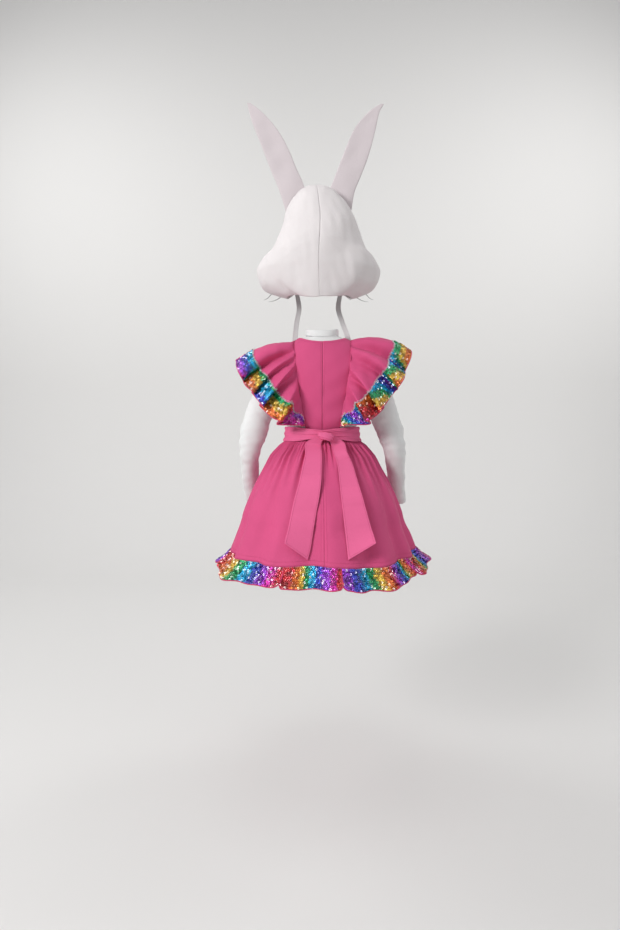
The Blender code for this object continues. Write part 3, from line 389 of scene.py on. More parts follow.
def cloth_material(name, colour, thread_mm, roughness, sheen, bump, mottle, crumple=0.0):
    """Woven cloth: thread pattern on the UV map, tone changes and soft crumples on Object places."""
    made, tree, shader = new_material(name)
    uv = node(tree, "ShaderNodeUVMap", uv_map="UVMap").outputs["UV"]
    place = node(tree, "ShaderNodeTexCoord").outputs["Object"]
    threads = []
    for direction, spacing in (("X", 1.0), ("Y", 0.8)):
        wave = node(tree, "ShaderNodeTexWave", {"Vector": uv, "Scale": WAVE_SCALE / thread_mm * spacing,
                                                "Distortion": 0.6, "Detail": 1.0},
                    bands_direction=direction)
        threads.append(wave.outputs["Fac"])
    weave = node(tree, "ShaderNodeMath", {0: threads[0], 1: threads[1]}, operation="MAXIMUM").outputs[0]
    tone = node(tree, "ShaderNodeTexNoise", {"Vector": place, "Scale": 14.0, "Detail": 4.0})
    fibre = node(tree, "ShaderNodeTexNoise", {"Vector": place, "Scale": 1400.0, "Detail": 2.0})
    fibre = fibre.outputs["Fac"]
    darker = tuple(c * (1.0 - mottle) for c in colour) + (1.0,)
    lighter = tuple(min(c * (1.0 + mottle), 1.0) for c in colour) + (1.0,)
    dyed = node(tree, "ShaderNodeMix", {"Factor": tone.outputs["Fac"], "A": darker, "B": lighter},
                data_type="RGBA")
    gaps = node(tree, "ShaderNodeMix", {"Factor": 0.22, "A": dyed.outputs["Result"], "B": weave},
                data_type="RGBA", blend_type="MULTIPLY")
    lift = node(tree, "ShaderNodeMath", {0: weave, 1: fibre}, operation="ADD").outputs[0]
    face = node(tree, "ShaderNodeBump", {"Strength": bump, "Distance": 0.0002, "Height": lift})
    if crumple > 0.0:
        crease = node(tree, "ShaderNodeTexNoise", {"Vector": place, "Scale": 26.0, "Detail": 3.0,
                                                   "Distortion": 0.8})
        face = node(tree, "ShaderNodeBump", {"Strength": crumple, "Distance": 0.004,
                                             "Height": crease.outputs["Fac"],
                                             "Normal": face.outputs["Normal"]})
    rough = node(tree, "ShaderNodeMapRange", {"Value": fibre, "To Min": roughness - 0.06,
                                              "To Max": min(roughness + 0.08, 1.0)})
    wire(tree, shader, {
        "Base Color": gaps.outputs["Result"], "Normal": face.outputs["Normal"],
        "Roughness": rough.outputs["Result"], "Specular IOR Level": 0.3,
        "Sheen Weight": sheen, "Sheen Roughness": 0.45,
        "Sheen Tint": tuple(min(c * 0.7 + 0.3, 1.0) for c in colour) + (1.0,)})
    return made


# Name, colour, thread spacing in mm, roughness, sheen, bump, mottle, crumple
PINK_WEAVE = cloth_material("pink_dress_cloth", (0.640, 0.078, 0.215), 0.42, 0.76, 0.06, 0.30, 0.07,
                            0.25)
PINK_SASH = cloth_material("pink_sash_cloth", (0.780, 0.132, 0.300), 0.42, 0.72, 0.08, 0.30, 0.06,
                           0.20)
WHITE_KNIT = cloth_material("white_top_knit", (0.800, 0.805, 0.800), 0.60, 0.88, 0.10, 0.35, 0.03,
                            0.30)
HOOD_FLEECE = cloth_material("white_hood_fleece", (0.740, 0.700, 0.700), 0.90, 0.95, 0.20, 0.55, 0.035,
                             0.18)
EAR_FLEECE = cloth_material("white_ear_fleece", (0.640, 0.575, 0.592), 0.90, 0.95, 0.20, 0.55, 0.035,
                            0.15)
RIBBON_SATIN = cloth_material("white_ribbon_satin", (0.660, 0.650, 0.650), 0.25, 0.45, 0.05, 0.15,
                              0.03)
BINDING_CLOTH = cloth_material("pink_binding_cloth", (0.700, 0.060, 0.170), 0.40, 0.60, 0.08, 0.25,
                               0.05)
PINK_THREAD = cloth_material("pink_thread", (0.480, 0.040, 0.130), 0.15, 0.60, 0.05, 0.2, 0.05)
WHITE_THREAD = cloth_material("white_thread", (0.600, 0.580, 0.585), 0.15, 0.60, 0.05, 0.2, 0.05)
SILVER_THREAD = cloth_material("silver_fray_thread", (0.78, 0.76, 0.78), 0.12, 0.42, 0.10, 0.2, 0.05)
print("finishes so far:", sorted(m.name for m in bpy.data.materials if m.users == 0))

# %% [markdown]
# ## Many small things: sequins, stitches, bindings
#
# Sequins and stitches are one small form set down thousands of times, so Geometry Nodes place
# them. Each point of a plain mesh carries its own turn, size and tint, and the node tree puts a
# copy of the pattern there. A second tree draws a tube along a line, which serves for cord-like
# bindings, rolled hems and threads. Both trees end in real geometry, and the plain result is kept.

# %% Node trees that repeat a pattern and follow a line
def new_tree(name, sockets):
    """A geometry tree with named inputs and one geometry output."""
    tree = bpy.data.node_groups.new(name, "GeometryNodeTree")
    tree.interface.new_socket("Geometry", in_out="INPUT", socket_type="NodeSocketGeometry")
    for label, kind in sockets:
        tree.interface.new_socket(label, in_out="INPUT", socket_type=kind)
    tree.interface.new_socket("Geometry", in_out="OUTPUT", socket_type="NodeSocketGeometry")
    return tree


def finish_tree(tree, geometry, material):
    """Real geometry, smooth, with its material, to the output."""
    real = node(tree, "GeometryNodeRealizeInstances", {"Geometry": geometry}).outputs[0]
    smooth = node(tree, "GeometryNodeSetShadeSmooth", {"Geometry": real}).outputs[0]
    paint = node(tree, "GeometryNodeSetMaterial", {"Geometry": smooth, "Material": material}).outputs[0]
    node(tree, "NodeGroupOutput", {"Geometry": paint})


def make_repeat_tree():
    """Copies of a pattern object on every point, with their own turn and size."""
    tree = new_tree("repeat_pattern", [("Pattern", "NodeSocketObject"),
                                       ("Material", "NodeSocketMaterial")])
    start = tree.nodes.new("NodeGroupInput").outputs
    pattern = node(tree, "GeometryNodeObjectInfo", {"Object": start["Pattern"]})
    turn, size = [node(tree, "GeometryNodeInputNamedAttribute", {"Name": name},
                       data_type="FLOAT_VECTOR") for name in ("turn", "size")]
    copies = node(tree, "GeometryNodeInstanceOnPoints", {
        "Points": start["Geometry"], "Instance": pattern.outputs["Geometry"],
        "Rotation": turn.outputs["Attribute"], "Scale": size.outputs["Attribute"]})
    finish_tree(tree, copies.outputs["Instances"], start["Material"])
    return tree


def make_tube_tree():
    """A round tube along a line of edges."""
    tree = new_tree("tube_on_line", [("Radius", "NodeSocketFloat"), ("Sides", "NodeSocketInt"),
                                     ("Material", "NodeSocketMaterial")])
    start = tree.nodes.new("NodeGroupInput").outputs
    line = node(tree, "GeometryNodeMeshToCurve", {"Mesh": start["Geometry"]})
    ring = node(tree, "GeometryNodeCurvePrimitiveCircle", {"Radius": start["Radius"],
                                                           "Resolution": start["Sides"]})
    tube_node = node(tree, "GeometryNodeCurveToMesh", {
        "Curve": line.outputs["Curve"], "Profile Curve": ring.outputs["Curve"], "Fill Caps": True})
    finish_tree(tree, tube_node.outputs["Mesh"], start["Material"])
    return tree


REPEAT_TREE = make_repeat_tree()
TUBE_TREE = make_tube_tree()
print("trees:", REPEAT_TREE.name, "and", TUBE_TREE.name)


def run_tree(name, item, tree, values):
    """Sets the tree's inputs by identifier, keeps the plain result and drops the modifier."""
    live = item.modifiers.new("nodes", "NODES")
    live.node_group = tree
    for socket in tree.interface.items_tree:
        if socket.item_type == "SOCKET" and socket.name in values:
            live[socket.identifier] = values[socket.name]
    item.update_tag()
    keep_result(item)
    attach(item, "root")
    print(name, "has", len(item.data.polygons), "faces")
    return item


def euler_of(right, up):
    """Turns whose X axis lies along right and whose Z axis lies along up."""
    z = unit(up)
    x = unit(right - z * np.sum(right * z, axis=-1, keepdims=True))
    y = np.cross(z, x)
    return np.stack([np.arctan2(y[..., 2], z[..., 2]), -np.arcsin(np.clip(x[..., 2], -1.0, 1.0)),
                     np.arctan2(x[..., 1], x[..., 0])], axis=-1)


def repeat(name, pattern, places, right, up, material, sizes, tints=None):
    """Copies of the pattern at the places, X along right and Z along up."""
    data = bpy.data.meshes.new(name)
    data.from_pydata(places.tolist(), [], [])
    point_values(data, "turn", euler_of(right, up))
    point_values(data, "size", sizes)
    if tints is not None:
        point_values(data, "tint", opaque(tints))
    return run_tree(name, put(name, data), REPEAT_TREE, {"Pattern": pattern, "Material": material})


def tube(name, lines, radius, material, sides=8):
    """Tubes along one or more lines of points."""
    points = np.concatenate(lines)
    edges = []
    first = 0
    for line in lines:
        edges += [(first + k, first + k + 1) for k in range(len(line) - 1)]
        first += len(line)
    data = bpy.data.meshes.new(name)
    data.from_pydata(points.tolist(), edges, [])
    return run_tree(name, put(name, data), TUBE_TREE, {"Radius": radius, "Sides": sides,
                                                       "Material": material})


# %% Patterns: a cupped sequin and one stitch
def make_sequin_pattern():
    """A cupped disc with a small hole at its middle, one unit across."""
    rings = [(0.085, 0.015), (0.32, 0.0), (0.50, 0.075)]
    points = []
    for radius, height in rings:
        for k in range(8):
            a = 2.0 * math.pi * k / 8.0
            points.append((radius * math.cos(a), radius * math.sin(a), height))
    faces = [[r * 8 + k, r * 8 + (k + 1) % 8, r * 8 + 8 + (k + 1) % 8, r * 8 + 8 + k]
             for r in range(2) for k in range(8)]
    item = mesh_object("sequin_pattern", np.array(points), faces, WHITE_THREAD)
    work = bmesh.new()
    work.from_mesh(item.data)
    bmesh.ops.reverse_faces(work, faces=work.faces)
    bmesh.ops.solidify(work, geom=work.faces[:], thickness=0.03)
    bmesh.ops.recalc_face_normals(work, faces=work.faces)
    work.to_mesh(item.data)
    work.free()
    return item


def make_stitch_pattern():
    """One stitch of thread: a short bar that dips into the cloth at both ends, one unit long."""
    share = np.linspace(0.0, 1.0, 7)
    line = np.stack([share - 0.5, 0.0 * share, 0.16 * np.sin(math.pi * share) - 0.10], axis=1)
    points = []
    for (x, y, z), t in zip(line, share):
        radius = 0.085 + 0.035 * math.sin(math.pi * t)
        for k in range(6):
            a = math.pi * k / 3.0
            points.append((x, y + radius * math.cos(a), z + radius * math.sin(a)))
    faces = [[r * 6 + k, r * 6 + 6 + k, r * 6 + 6 + (k + 1) % 6, r * 6 + (k + 1) % 6]
             for r in range(6) for k in range(6)]
    faces += [[0, 1, 2, 3, 4, 5], [41, 40, 39, 38, 37, 36]]
    return mesh_object("stitch_pattern", np.array(points), faces, WHITE_THREAD)


SEQUIN_PATTERN = make_sequin_pattern()
STITCH_PATTERN = make_stitch_pattern()
for pattern in (SEQUIN_PATTERN, STITCH_PATTERN):
    print(pattern.name, "has", len(pattern.data.polygons), "faces")

# %% [markdown]
# ## The white top
#
# The top is a plain knitted shirt: a front and a back, a narrow neckband and two long sleeves.
# Most of it lies under the dress, so its body is only a little larger than the child. Its form is
# a table of half-widths and depths from neck to hem. Each ring is a slightly squared oval, lifted
# or lowered round the shoulders, and the armholes are cut with a Boolean, as a cutter would cut
# them from the cloth.

# %% Body of the top
SIDES = (("left", -1.0), ("right", 1.0))
TOP_WALL = 0.0013
TORSO = [
    (0.0455, 0.046, 0.046, 0.012, 0.005, -0.006),
    (0.0640, 0.057, 0.056, 0.003, -0.010, -0.024),
    (0.0860, 0.066, 0.064, -0.011, -0.027, -0.040),
    (0.1060, 0.073, 0.071, -0.028, -0.046, -0.058),
    (0.1190, 0.079, 0.077, -0.048, -0.068, -0.076),
    (0.1195, 0.082, 0.080, -0.078, -0.092, -0.096),
    (0.1175, 0.083, 0.081, -0.112, -0.118, -0.118),
    (0.1155, 0.082, 0.082, -0.148, -0.148, -0.148),
    (0.1130, 0.080, 0.082, -0.184, -0.184, -0.184),
    (0.1115, 0.079, 0.081, -0.213, -0.213, -0.213),
    (0.0985, 0.074, 0.076, -0.234, -0.234, -0.234),
    (0.0930, 0.070, 0.072, -0.250, -0.250, -0.250),
    (0.0920, 0.069, 0.071, -0.268, -0.268, -0.268),
    (0.0980, 0.074, 0.076, -0.302, -0.302, -0.302),
    (0.1080, 0.082, 0.084, -0.340, -0.340, -0.340),
]
LAST_LEVEL = len(TORSO) - 1.0
OVAL_POWER = 2.2
ARMHOLE_Z = -0.090
ARMHOLE_HALF_Y = 0.045
ARMHOLE_HALF_Z = 0.047


def torso_raw(angle, level):
    """Points of the top's outer face; angle 0 is the right side, -90 degrees the centre back."""
    angle, level = np.broadcast_arrays(np.asarray(angle, float), np.asarray(level, float))
    row = rows_at(TORSO, level)
    c = np.cos(angle)
    s = np.sin(angle)
    depth = np.where(s < 0, row[..., 1], row[..., 2])
    end = np.where(s < 0, row[..., 4], row[..., 5])
    power = 2.0 / OVAL_POWER
    x = row[..., 0] * np.sign(c) * np.abs(c) ** power
    y = depth * np.sign(s) * np.abs(s) ** power
    return stack(x, y, mix(row[..., 3], end, s * s))


def torso(angle, level, lift=0.0):
    """Points over the top, lifted off its face."""
    angle, level = np.broadcast_arrays(np.asarray(angle, float), np.asarray(level, float))
    along = torso_raw(angle + 0.02, level) - torso_raw(angle - 0.02, level)
    low = np.maximum(level - 0.05, 0.0)
    down = torso_raw(angle, np.minimum(level + 0.05, LAST_LEVEL)) - torso_raw(angle, low)
    return torso_raw(angle, level) + unit(np.cross(down, along)) * np.asarray(lift)[..., None]


def cut_armholes(item):
    """Cuts both oval armholes with an exact Boolean and keeps the plain result."""
    for side in (-1.0, 1.0):
        bpy.ops.mesh.primitive_cylinder_add(vertices=64, radius=1.0, depth=1.0)
        cutter = bpy.context.object
        for vert in cutter.data.vertices:
            x, y, z = vert.co
            vert.co = (z * 0.10 + side * 0.115, x * (ARMHOLE_HALF_Y + 0.0004),
                       y * (ARMHOLE_HALF_Z + 0.0004) + ARMHOLE_Z)
        cut = item.modifiers.new("armhole", "BOOLEAN")
        cut.operation = "DIFFERENCE"
        cut.solver = "EXACT"
        cut.object = cutter
        keep_result(item)
        bpy.data.objects.remove(cutter, do_unlink=True)
    while len(item.data.materials) > 1:
        item.data.materials.pop()


def make_top_body():
    """Front and back of the top with a few soft drag lines."""
    for name, start in (("back", -math.pi), ("front", 0.0)):
        angle = start + 0.004 + (math.pi - 0.008) * np.linspace(0.0, 1.0, 110)[None, :]
        level = np.linspace(0.0, LAST_LEVEL, 96)[:, None]
        grid = torso(angle, level)
        crumple = ripples(grid * np.array([1.0, 1.0, 1.8]), 0.05, 11) * 0.0006
        grid = grid + facing(grid, axis_of(grid)) * crumple[..., None]
        item = cloth("top_" + name, grid, TOP_WALL, WHITE_KNIT)
        cut_armholes(item)
        belongs(item, "shirt_" + name)


make_top_body()


# %% Neckband and sleeves of the top
SLEEVE_LEFT = [
    (0.1215, -0.150, 0.152, -0.058, 0.000, 0.0440, 0),
    (0.1275, -0.172, 0.176, -0.090, 0.000, 0.0420, 0),
    (0.1345, -0.196, 0.190, -0.135, 0.000, 0.0395, 0),
    (0.1410, -0.216, 0.205, -0.175, 0.000, 0.0370, 0),
    (0.1490, -0.240, 0.218, -0.212, 0.002, 0.0360, 0),
    (0.1570, -0.264, 0.229, -0.246, 0.005, 0.0350, 6),
    (0.1650, -0.284, 0.232, -0.272, 0.010, 0.0335, 14),
    (0.1740, -0.308, 0.2315, -0.302, 0.018, 0.0300, 22),
    (0.1800, -0.336, 0.2320, -0.336, 0.036, 0.0275, 27),
    (0.1815, -0.372, 0.2325, -0.374, 0.062, 0.0255, 31),
    (0.1825, -0.410, 0.2320, -0.412, 0.089, 0.0238, 33),
    (0.1835, -0.440, 0.2290, -0.442, 0.111, 0.0220, 34),
    (0.1855, -0.462, 0.2250, -0.464, 0.129, 0.0200, 34),
]
SLEEVE_RIGHT = [
    (0.1215, -0.150, 0.152, -0.058, 0.000, 0.0440, 0),
    (0.1265, -0.172, 0.177, -0.090, 0.000, 0.0420, 0),
    (0.1315, -0.196, 0.192, -0.135, 0.000, 0.0395, 0),
    (0.1360, -0.217, 0.205, -0.175, 0.000, 0.0375, 0),
    (0.1460, -0.240, 0.2165, -0.212, 0.002, 0.0360, 0),
    (0.1570, -0.264, 0.2265, -0.243, 0.005, 0.0345, 6),
    (0.1650, -0.284, 0.2310, -0.270, 0.010, 0.0330, 14),
    (0.1740, -0.308, 0.2345, -0.302, 0.018, 0.0300, 22),
    (0.1800, -0.334, 0.2370, -0.336, 0.036, 0.0275, 27),
    (0.1885, -0.370, 0.2410, -0.372, 0.062, 0.0255, 31),
    (0.1975, -0.406, 0.2455, -0.408, 0.089, 0.0235, 33),
    (0.2070, -0.437, 0.2505, -0.439, 0.111, 0.0218, 34),
    (0.2150, -0.459, 0.2545, -0.461, 0.129, 0.0198, 34),
]
# Sleeve folds: height, turn round the arm in degrees, slant, length, width, depth
SLEEVE_FOLDS = [
    (-0.262, 150.0, 0.55, 60.0, 0.0070, 0.0027),
    (-0.279, 165.0, 0.45, 75.0, 0.0060, -0.0023),
    (-0.296, 150.0, 0.30, 70.0, 0.0065, 0.0026),
    (-0.316, 190.0, -0.20, 60.0, 0.0070, 0.0020),
    (-0.345, 140.0, 0.35, 55.0, 0.0080, 0.0014),
    (-0.385, 200.0, 0.20, 70.0, 0.0080, 0.0012),
    (-0.225, 330.0, -0.40, 60.0, 0.0090, 0.0018),
    (-0.190, 20.0, 0.30, 60.0, 0.0090, 0.0020),
    (-0.250, 20.0, 0.35, 60.0, 0.0070, 0.0020),
    (-0.275, 0.0, -0.20, 60.0, 0.0065, 0.0023),
]


def surface_x(y, z):
    """Half-width of the top beside the armhole at a depth and height."""
    row = rows_by_key([(r[3], r[0], r[1], r[2]) for r in TORSO], z)
    depth = np.where(y < 0, row[..., 1], row[..., 2])
    return row[..., 0] * np.maximum(1.0 - (np.abs(y) / depth) ** OVAL_POWER, 0.0) ** (1.0 / OVAL_POWER)


def sleeve_grid(table, side, rows, columns):
    """Rings from the armhole to the cuff, with the folds of a bent elbow."""
    turn = np.linspace(0.0, 2.0 * math.pi, columns, endpoint=False)[None, :]
    y0 = ARMHOLE_HALF_Y * np.sin(turn)
    z0 = ARMHOLE_Z - ARMHOLE_HALF_Z * np.cos(turn)
    first = stack(side * (surface_x(y0, z0) + 0.0004), y0, z0)
    row = rows_at(table, np.linspace(0.0, len(table) - 1.0, rows))[:, None, :]
    x = mix(row[..., 0], row[..., 2], 0.5 - 0.5 * np.cos(turn))
    z = mix(row[..., 1], row[..., 3], 0.5 - 0.5 * np.cos(turn))
    tilt = np.radians(row[..., 6])
    deep = row[..., 5] * np.sin(turn)
    rings = stack(side * x, row[..., 4] + deep * np.cos(tilt), z + deep * np.sin(tilt))
    share = np.linspace(0.0, 1.0, 9)[1:-1, None, None]
    bridge = mix(first, rings[:1], share)
    return np.concatenate([first, bridge, rings], axis=0)


def add_sleeve_folds(grid):
    """Raises and sinks soft slanted folds round the elbow and armpit."""
    out = facing(grid, grid.mean(axis=1, keepdims=True), closed=True)
    height = grid.mean(axis=1)[:, 2][:, None]
    turn = np.linspace(0.0, 360.0, grid.shape[1], endpoint=False)[None, :]
    push = np.zeros(grid.shape[:2])
    for z, middle, slant, length, width, depth in SLEEVE_FOLDS:
        away = (turn - middle + 180.0) % 360.0 - 180.0
        line = z + slant * math.radians(1.0) * away * 0.03
        push += depth * np.exp(-((height - line) / width) ** 2) * np.exp(-(away / length) ** 2)
    push += 0.0009 * ripples(grid * np.array([1.0, 1.0, 2.2]), 0.045, 5)
    count = grid.shape[0]
    index = np.arange(count)[:, None]
    fade = soft(index, 6, 16) * (1.0 - soft(index, count - 12, count - 3))
    return grid + out * (push * fade)[..., None]


def make_neckband():
    """Standing neckband, 18 mm tall, folded double."""
    angle = np.linspace(0.0, 2.0 * math.pi, 120, endpoint=False)[None, :]
    foot = torso_raw(angle, 0.0)
    outward = stack(np.cos(angle), np.sin(angle), 0.0)
    height = np.linspace(0.0, 0.018, 12)[:, None]
    grow = 0.0010 * np.sin(math.pi * height / 0.018) - 0.0004 * height / 0.018
    grid = foot + outward * grow[..., None] + stack(0.0, 0.0, height + 0.0006)
    item = cloth("top_neckband", grid, 0.0022, WHITE_KNIT, closed=True)
    belongs(item, "shirt_collar")


# Lines that are sewn later: the line's points and the way out of the cloth
sewn = {}
for side_name, side, table in (("left", -1.0, SLEEVE_LEFT), ("right", 1.0, SLEEVE_RIGHT)):
    sleeve = add_sleeve_folds(sleeve_grid(table, side, 150, 72))
    item = cloth("sleeve_" + side_name, sleeve, TOP_WALL, WHITE_KNIT, closed=True)
    belongs(item, "shirt_sleeve_" + side_name)
    out = facing(sleeve, sleeve.mean(axis=1, keepdims=True), True)
    sewn["cuff_" + side_name] = (sleeve[-8], out[-8])
make_neckband()

# %% [markdown]
# ## The pinafore bodice
#
# The bodice has one front panel and two back panels that meet in a centre-back seam. Its outer
# edge runs from the shoulder down to the waist, and the ruffle is sewn into that edge. The panels
# follow the top a few millimetres further out. The edge is found by halving: for each height, the
# angle is narrowed until the point on the body is as far from the middle as the pattern says.

# %% Bodice panels
DRESS_WALL = 0.0014
SEAM_LINE = [(-0.003, 0.0760), (-0.040, 0.0735), (-0.090, 0.0690), (-0.150, 0.0600), (-0.210, 0.0500),
             (-0.262, 0.0440)]
BODICE_LIFT = 0.0032
SHOULDER_LIFT = 0.0014
BODICE_TOP_LEVEL = 1.05
BODICE_END_LEVEL = 11.6
NECK_CORNER = 0.0640
SHOULDER_CORNER = 0.0745
STRAP_START = 0.86


def level_of_width(width):
    """Level near the shoulder where the top is this wide."""
    return float(np.interp(width, [r[0] for r in TORSO[:5]], range(5)))


def seam_places(share, front):
    """Angle and level of the bodice edge; share 0 is the shoulder, 1 the waist."""
    sign = 1.0 if front else -1.0
    level = mix(level_of_width(SHOULDER_CORNER), BODICE_END_LEVEL, share)
    low = np.zeros_like(share)
    high = np.full_like(share, math.pi / 2.0)
    for _ in range(40):
        middle = 0.5 * (low + high)
        p = torso_raw(sign * middle, level)
        height = np.clip(p[..., 2], SEAM_LINE[-1][0], SEAM_LINE[0][0])
        wide = p[..., 0] > rows_by_key(SEAM_LINE, height)[..., 0]
        low = np.where(wide, middle, low)
        high = np.where(wide, high, middle)
    return np.where(share > 0.0, sign * 0.5 * (low + high), 0.0), level


def bodice_grid(front, rows, columns, start_gap):
    """Half panel of the bodice on the right side, from the centre line out to the ruffle seam."""
    sign = 1.0 if front else -1.0
    centre = sign * (math.pi / 2.0 - start_gap)
    neck = BODICE_TOP_LEVEL + (1.0 if front else 0.0)
    corner = level_of_width(NECK_CORNER)
    shoulder = level_of_width(SHOULDER_CORNER)
    w = (np.linspace(0.0, 1.0, rows) ** 1.5)[:, None]
    u = np.linspace(0.0, 1.0, columns)[None, :]
    edge_angle, edge_level = seam_places(w[:, 0], front)
    angle = mix(centre, edge_angle[:, None], u)
    level = mix(mix(neck, BODICE_END_LEVEL, w), edge_level[:, None], u)
    top_angle = np.where(u < STRAP_START, centre * (1.0 - u / STRAP_START), 0.0)
    top_level = np.where(u < STRAP_START, mix(neck, corner, soft(u, 0.1, STRAP_START)),
                         mix(corner, shoulder, (u - STRAP_START) / (1.0 - STRAP_START)))
    angle = angle + (top_angle - centre * (1.0 - u)) * (1.0 - w) ** 2
    level = level + (top_level - mix(neck, shoulder, u)) * (1.0 - w) ** 2
    angle = np.where(np.abs(angle) < 0.006, sign * 0.006, angle)
    return torso(angle, level, BODICE_LIFT + SHOULDER_LIFT * (1.0 - soft(w, 0.0, 0.3)))


def handled(grid, size, depth, seed, closed=False, middle=None):
    """The same grid with soft seeded unevenness, as cloth has once it is worn."""
    middle = axis_of(grid) if middle is None else middle
    push = ripples(grid, size, seed) * depth
    return grid + facing(grid, middle, closed) * push[..., None]


MIRROR = np.array([-1.0, 1.0, 1.0])


def pinched(grid, edge, depth, width):
    """Sinks the cloth by depth within a width of one edge, as a line of sewing does."""
    line = grid[:, :1] if edge == "first" else grid[:, -1:]
    away = np.linalg.norm(grid - line, axis=2)
    return grid - facing(grid, axis_of(grid)) * (depth * np.exp(-(away / width) ** 2))[..., None]


def make_bodice():
    """Front panel in one piece, two back panels that meet at the centre-back seam."""
    back = bodice_grid(False, 90, 46, 0.0007)
    for name, panel, seed in (("right", back, 21), ("left", back * MIRROR, 22)):
        panel = pinched(handled(panel, 0.06, 0.0009, seed), "first", 0.0007, 0.0035)
        out = facing(panel, axis_of(panel))
        sewn["neck_edge_" + name] = (panel[9], out[9])
        sewn["back_seam_" + name] = (panel[9:, 2], out[9:, 2])
        sewn["ruffle_seam_" + name] = (panel[9:, -3], out[9:, -3])
        item = cloth("bodice_panel_" + name, panel, DRESS_WALL, PINK_WEAVE)
        belongs(item, "bodice_back_" + name)
    half = bodice_grid(True, 90, 46, 0.0)
    whole = np.concatenate([(half * MIRROR)[:, ::-1], half[:, 1:]], axis=1)
    item = cloth("bodice_front_panel", handled(whole, 0.06, 0.0009, 23), DRESS_WALL, PINK_WEAVE)
    belongs(item, "bodice_front")


make_bodice()

# %% [markdown]
# ## Flutter ruffles over the shoulders
#
# A flutter ruffle is cut as a ring segment: its inner edge fits the bodice, and its outer edge is
# two to three times longer. The spare length falls into folds that radiate from the seam and grow
# outwards. Each fold here leans over its neighbour: the cloth moves out by one wave and sideways
# by the same wave. Where it leans far enough, the edge doubles back on itself, which gives the
# stepped outline of the photograph.

# %% Form of a ruffle
RUFFLE_WALL = 0.0016
TRIM_WALL = 0.0011
RUFFLE_END = 0.862
RUFFLE_COLUMNS = 640
SEAM_ROWS = 60
RUFFLE_EDGE = [
    (0.00, 0.0530, -0.0850, -0.2370),
    (0.06, 0.0680, -0.0990, -0.2355),
    (0.14, 0.1030, -0.1080, -0.2290),
    (0.22, 0.1340, -0.1060, -0.2150),
    (0.30, 0.1610, -0.1000, -0.1840),
    (0.36, 0.1840, -0.0920, -0.1520),
    (0.41, 0.2060, -0.0780, -0.1270),
    (0.455, 0.2270, -0.0520, -0.0870),
    (0.50, 0.2440, 0.0000, -0.0380),
]


def seam_line(share):
    """Points along the bodice edge, waist back over the shoulder to waist front."""
    back = bodice_grid(False, SEAM_ROWS, 6, 0.004)[:, -2:]
    front = bodice_grid(True, SEAM_ROWS, 6, 0.0)[:, -2:]
    line = np.concatenate([back[::-1], front], axis=0)
    edge = line[:, 1] - unit(line[:, 1] - line[:, 0]) * 0.0007
    along = (SEAM_ROWS - 1.0) * (np.abs(share - 0.5) * 2.0 * RUFFLE_END) ** (1.0 / 1.5)
    place = np.where(share <= 0.5, SEAM_ROWS - 1.0 - along, SEAM_ROWS + along)
    return on_path(place, np.arange(2 * SEAM_ROWS), edge)


def ruffle_form(share, w, side, folds):
    """Points of a ruffle at places along it (share) and from the seam outwards (w)."""
    near = np.minimum(share, 1.0 - share)
    seam = seam_line(share)
    edge = rows_by_key(RUFFLE_EDGE, near)
    edge[:, 1] *= np.where(share <= 0.5, 1.0, -1.0)
    out = edge - seam
    width = np.linalg.norm(out, axis=1)
    along = unit(np.gradient(edge, axis=0))
    normal = unit(np.cross(np.gradient(edge, axis=0), out))
    flip = normal[:, 1] * seam[:, 1] * 4.0 + normal[:, 2] * 0.15 < 0.0
    normal = np.where(flip[:, None], -normal, normal)
    number = np.interp(near, folds, range(len(folds)))
    top = float(np.interp(0.5, folds, range(len(folds))))
    number = np.where(share <= 0.5, number, 2.0 * top - number)
    number = np.convolve(np.pad(number, 6, mode="edge"), np.ones(13) / 13.0, mode="valid")
    steps = np.linalg.norm(np.gradient(edge, axis=0), axis=1)
    pitch = np.clip(steps / np.maximum(np.gradient(number), 1e-6), 0.03, 0.056)
    down = -np.tanh((0.5 - share) * 14.0)
    wave = np.cos(2.0 * math.pi * number)
    growth = soft(width, 0.01, 0.09)
    w = w[:, None]
    fine = w ** 1.6 * (1.0 + 0.25 * np.sin(2.0 * math.pi * number * 0.5 + 1.0))
    front = soft(share, 0.50, 0.56)
    rise = mix(0.38 * w ** 0.5, 0.28 * w ** 2.4, front)
    depth = (rise * wave + 0.020 * fine * np.sin(6.0 * math.pi * number + 1.0)) * pitch * growth
    lean = 0.42 * mix(w ** 0.9, w ** 2.0, front) * wave * pitch * growth * down
    swell = mix(0.020, 0.009, front) * np.sin(math.pi * w) * soft(width, 0.02, 0.12)
    grid = seam + out * w[..., None] + normal * (swell + depth)[..., None] + along * lean[..., None]
    grid[..., 0] = np.where(w > 0.0, np.maximum(grid[..., 0], seam[:, 0]), grid[..., 0])
    return grid * np.array([side, 1.0, 1.0])


# Folds of each ruffle: where along the back half each one has its lower edge
FOLDS_LEFT = [0.0, 0.02, 0.215, 0.330, 0.378, 0.447, 0.57]
FOLDS_RIGHT = [0.0, 0.03, 0.225, 0.305, 0.428, 0.483, 0.60]
RUFFLES = {"left": (-1.0, FOLDS_LEFT), "right": (1.0, FOLDS_RIGHT)}
ruffle_grids = {}
for name, (side, folds) in RUFFLES.items():
    grid = ruffle_form(np.linspace(0.0, 1.0, RUFFLE_COLUMNS), np.linspace(0.0, 1.0, 30), side, folds)
    grid = handled(grid, 0.035, 0.0007, 31)
    item = cloth("flutter_ruffle_" + name, grid, RUFFLE_WALL, PINK_WEAVE)
    belongs(item, "ruffle_" + name)
    ruffle_grids[name] = grid

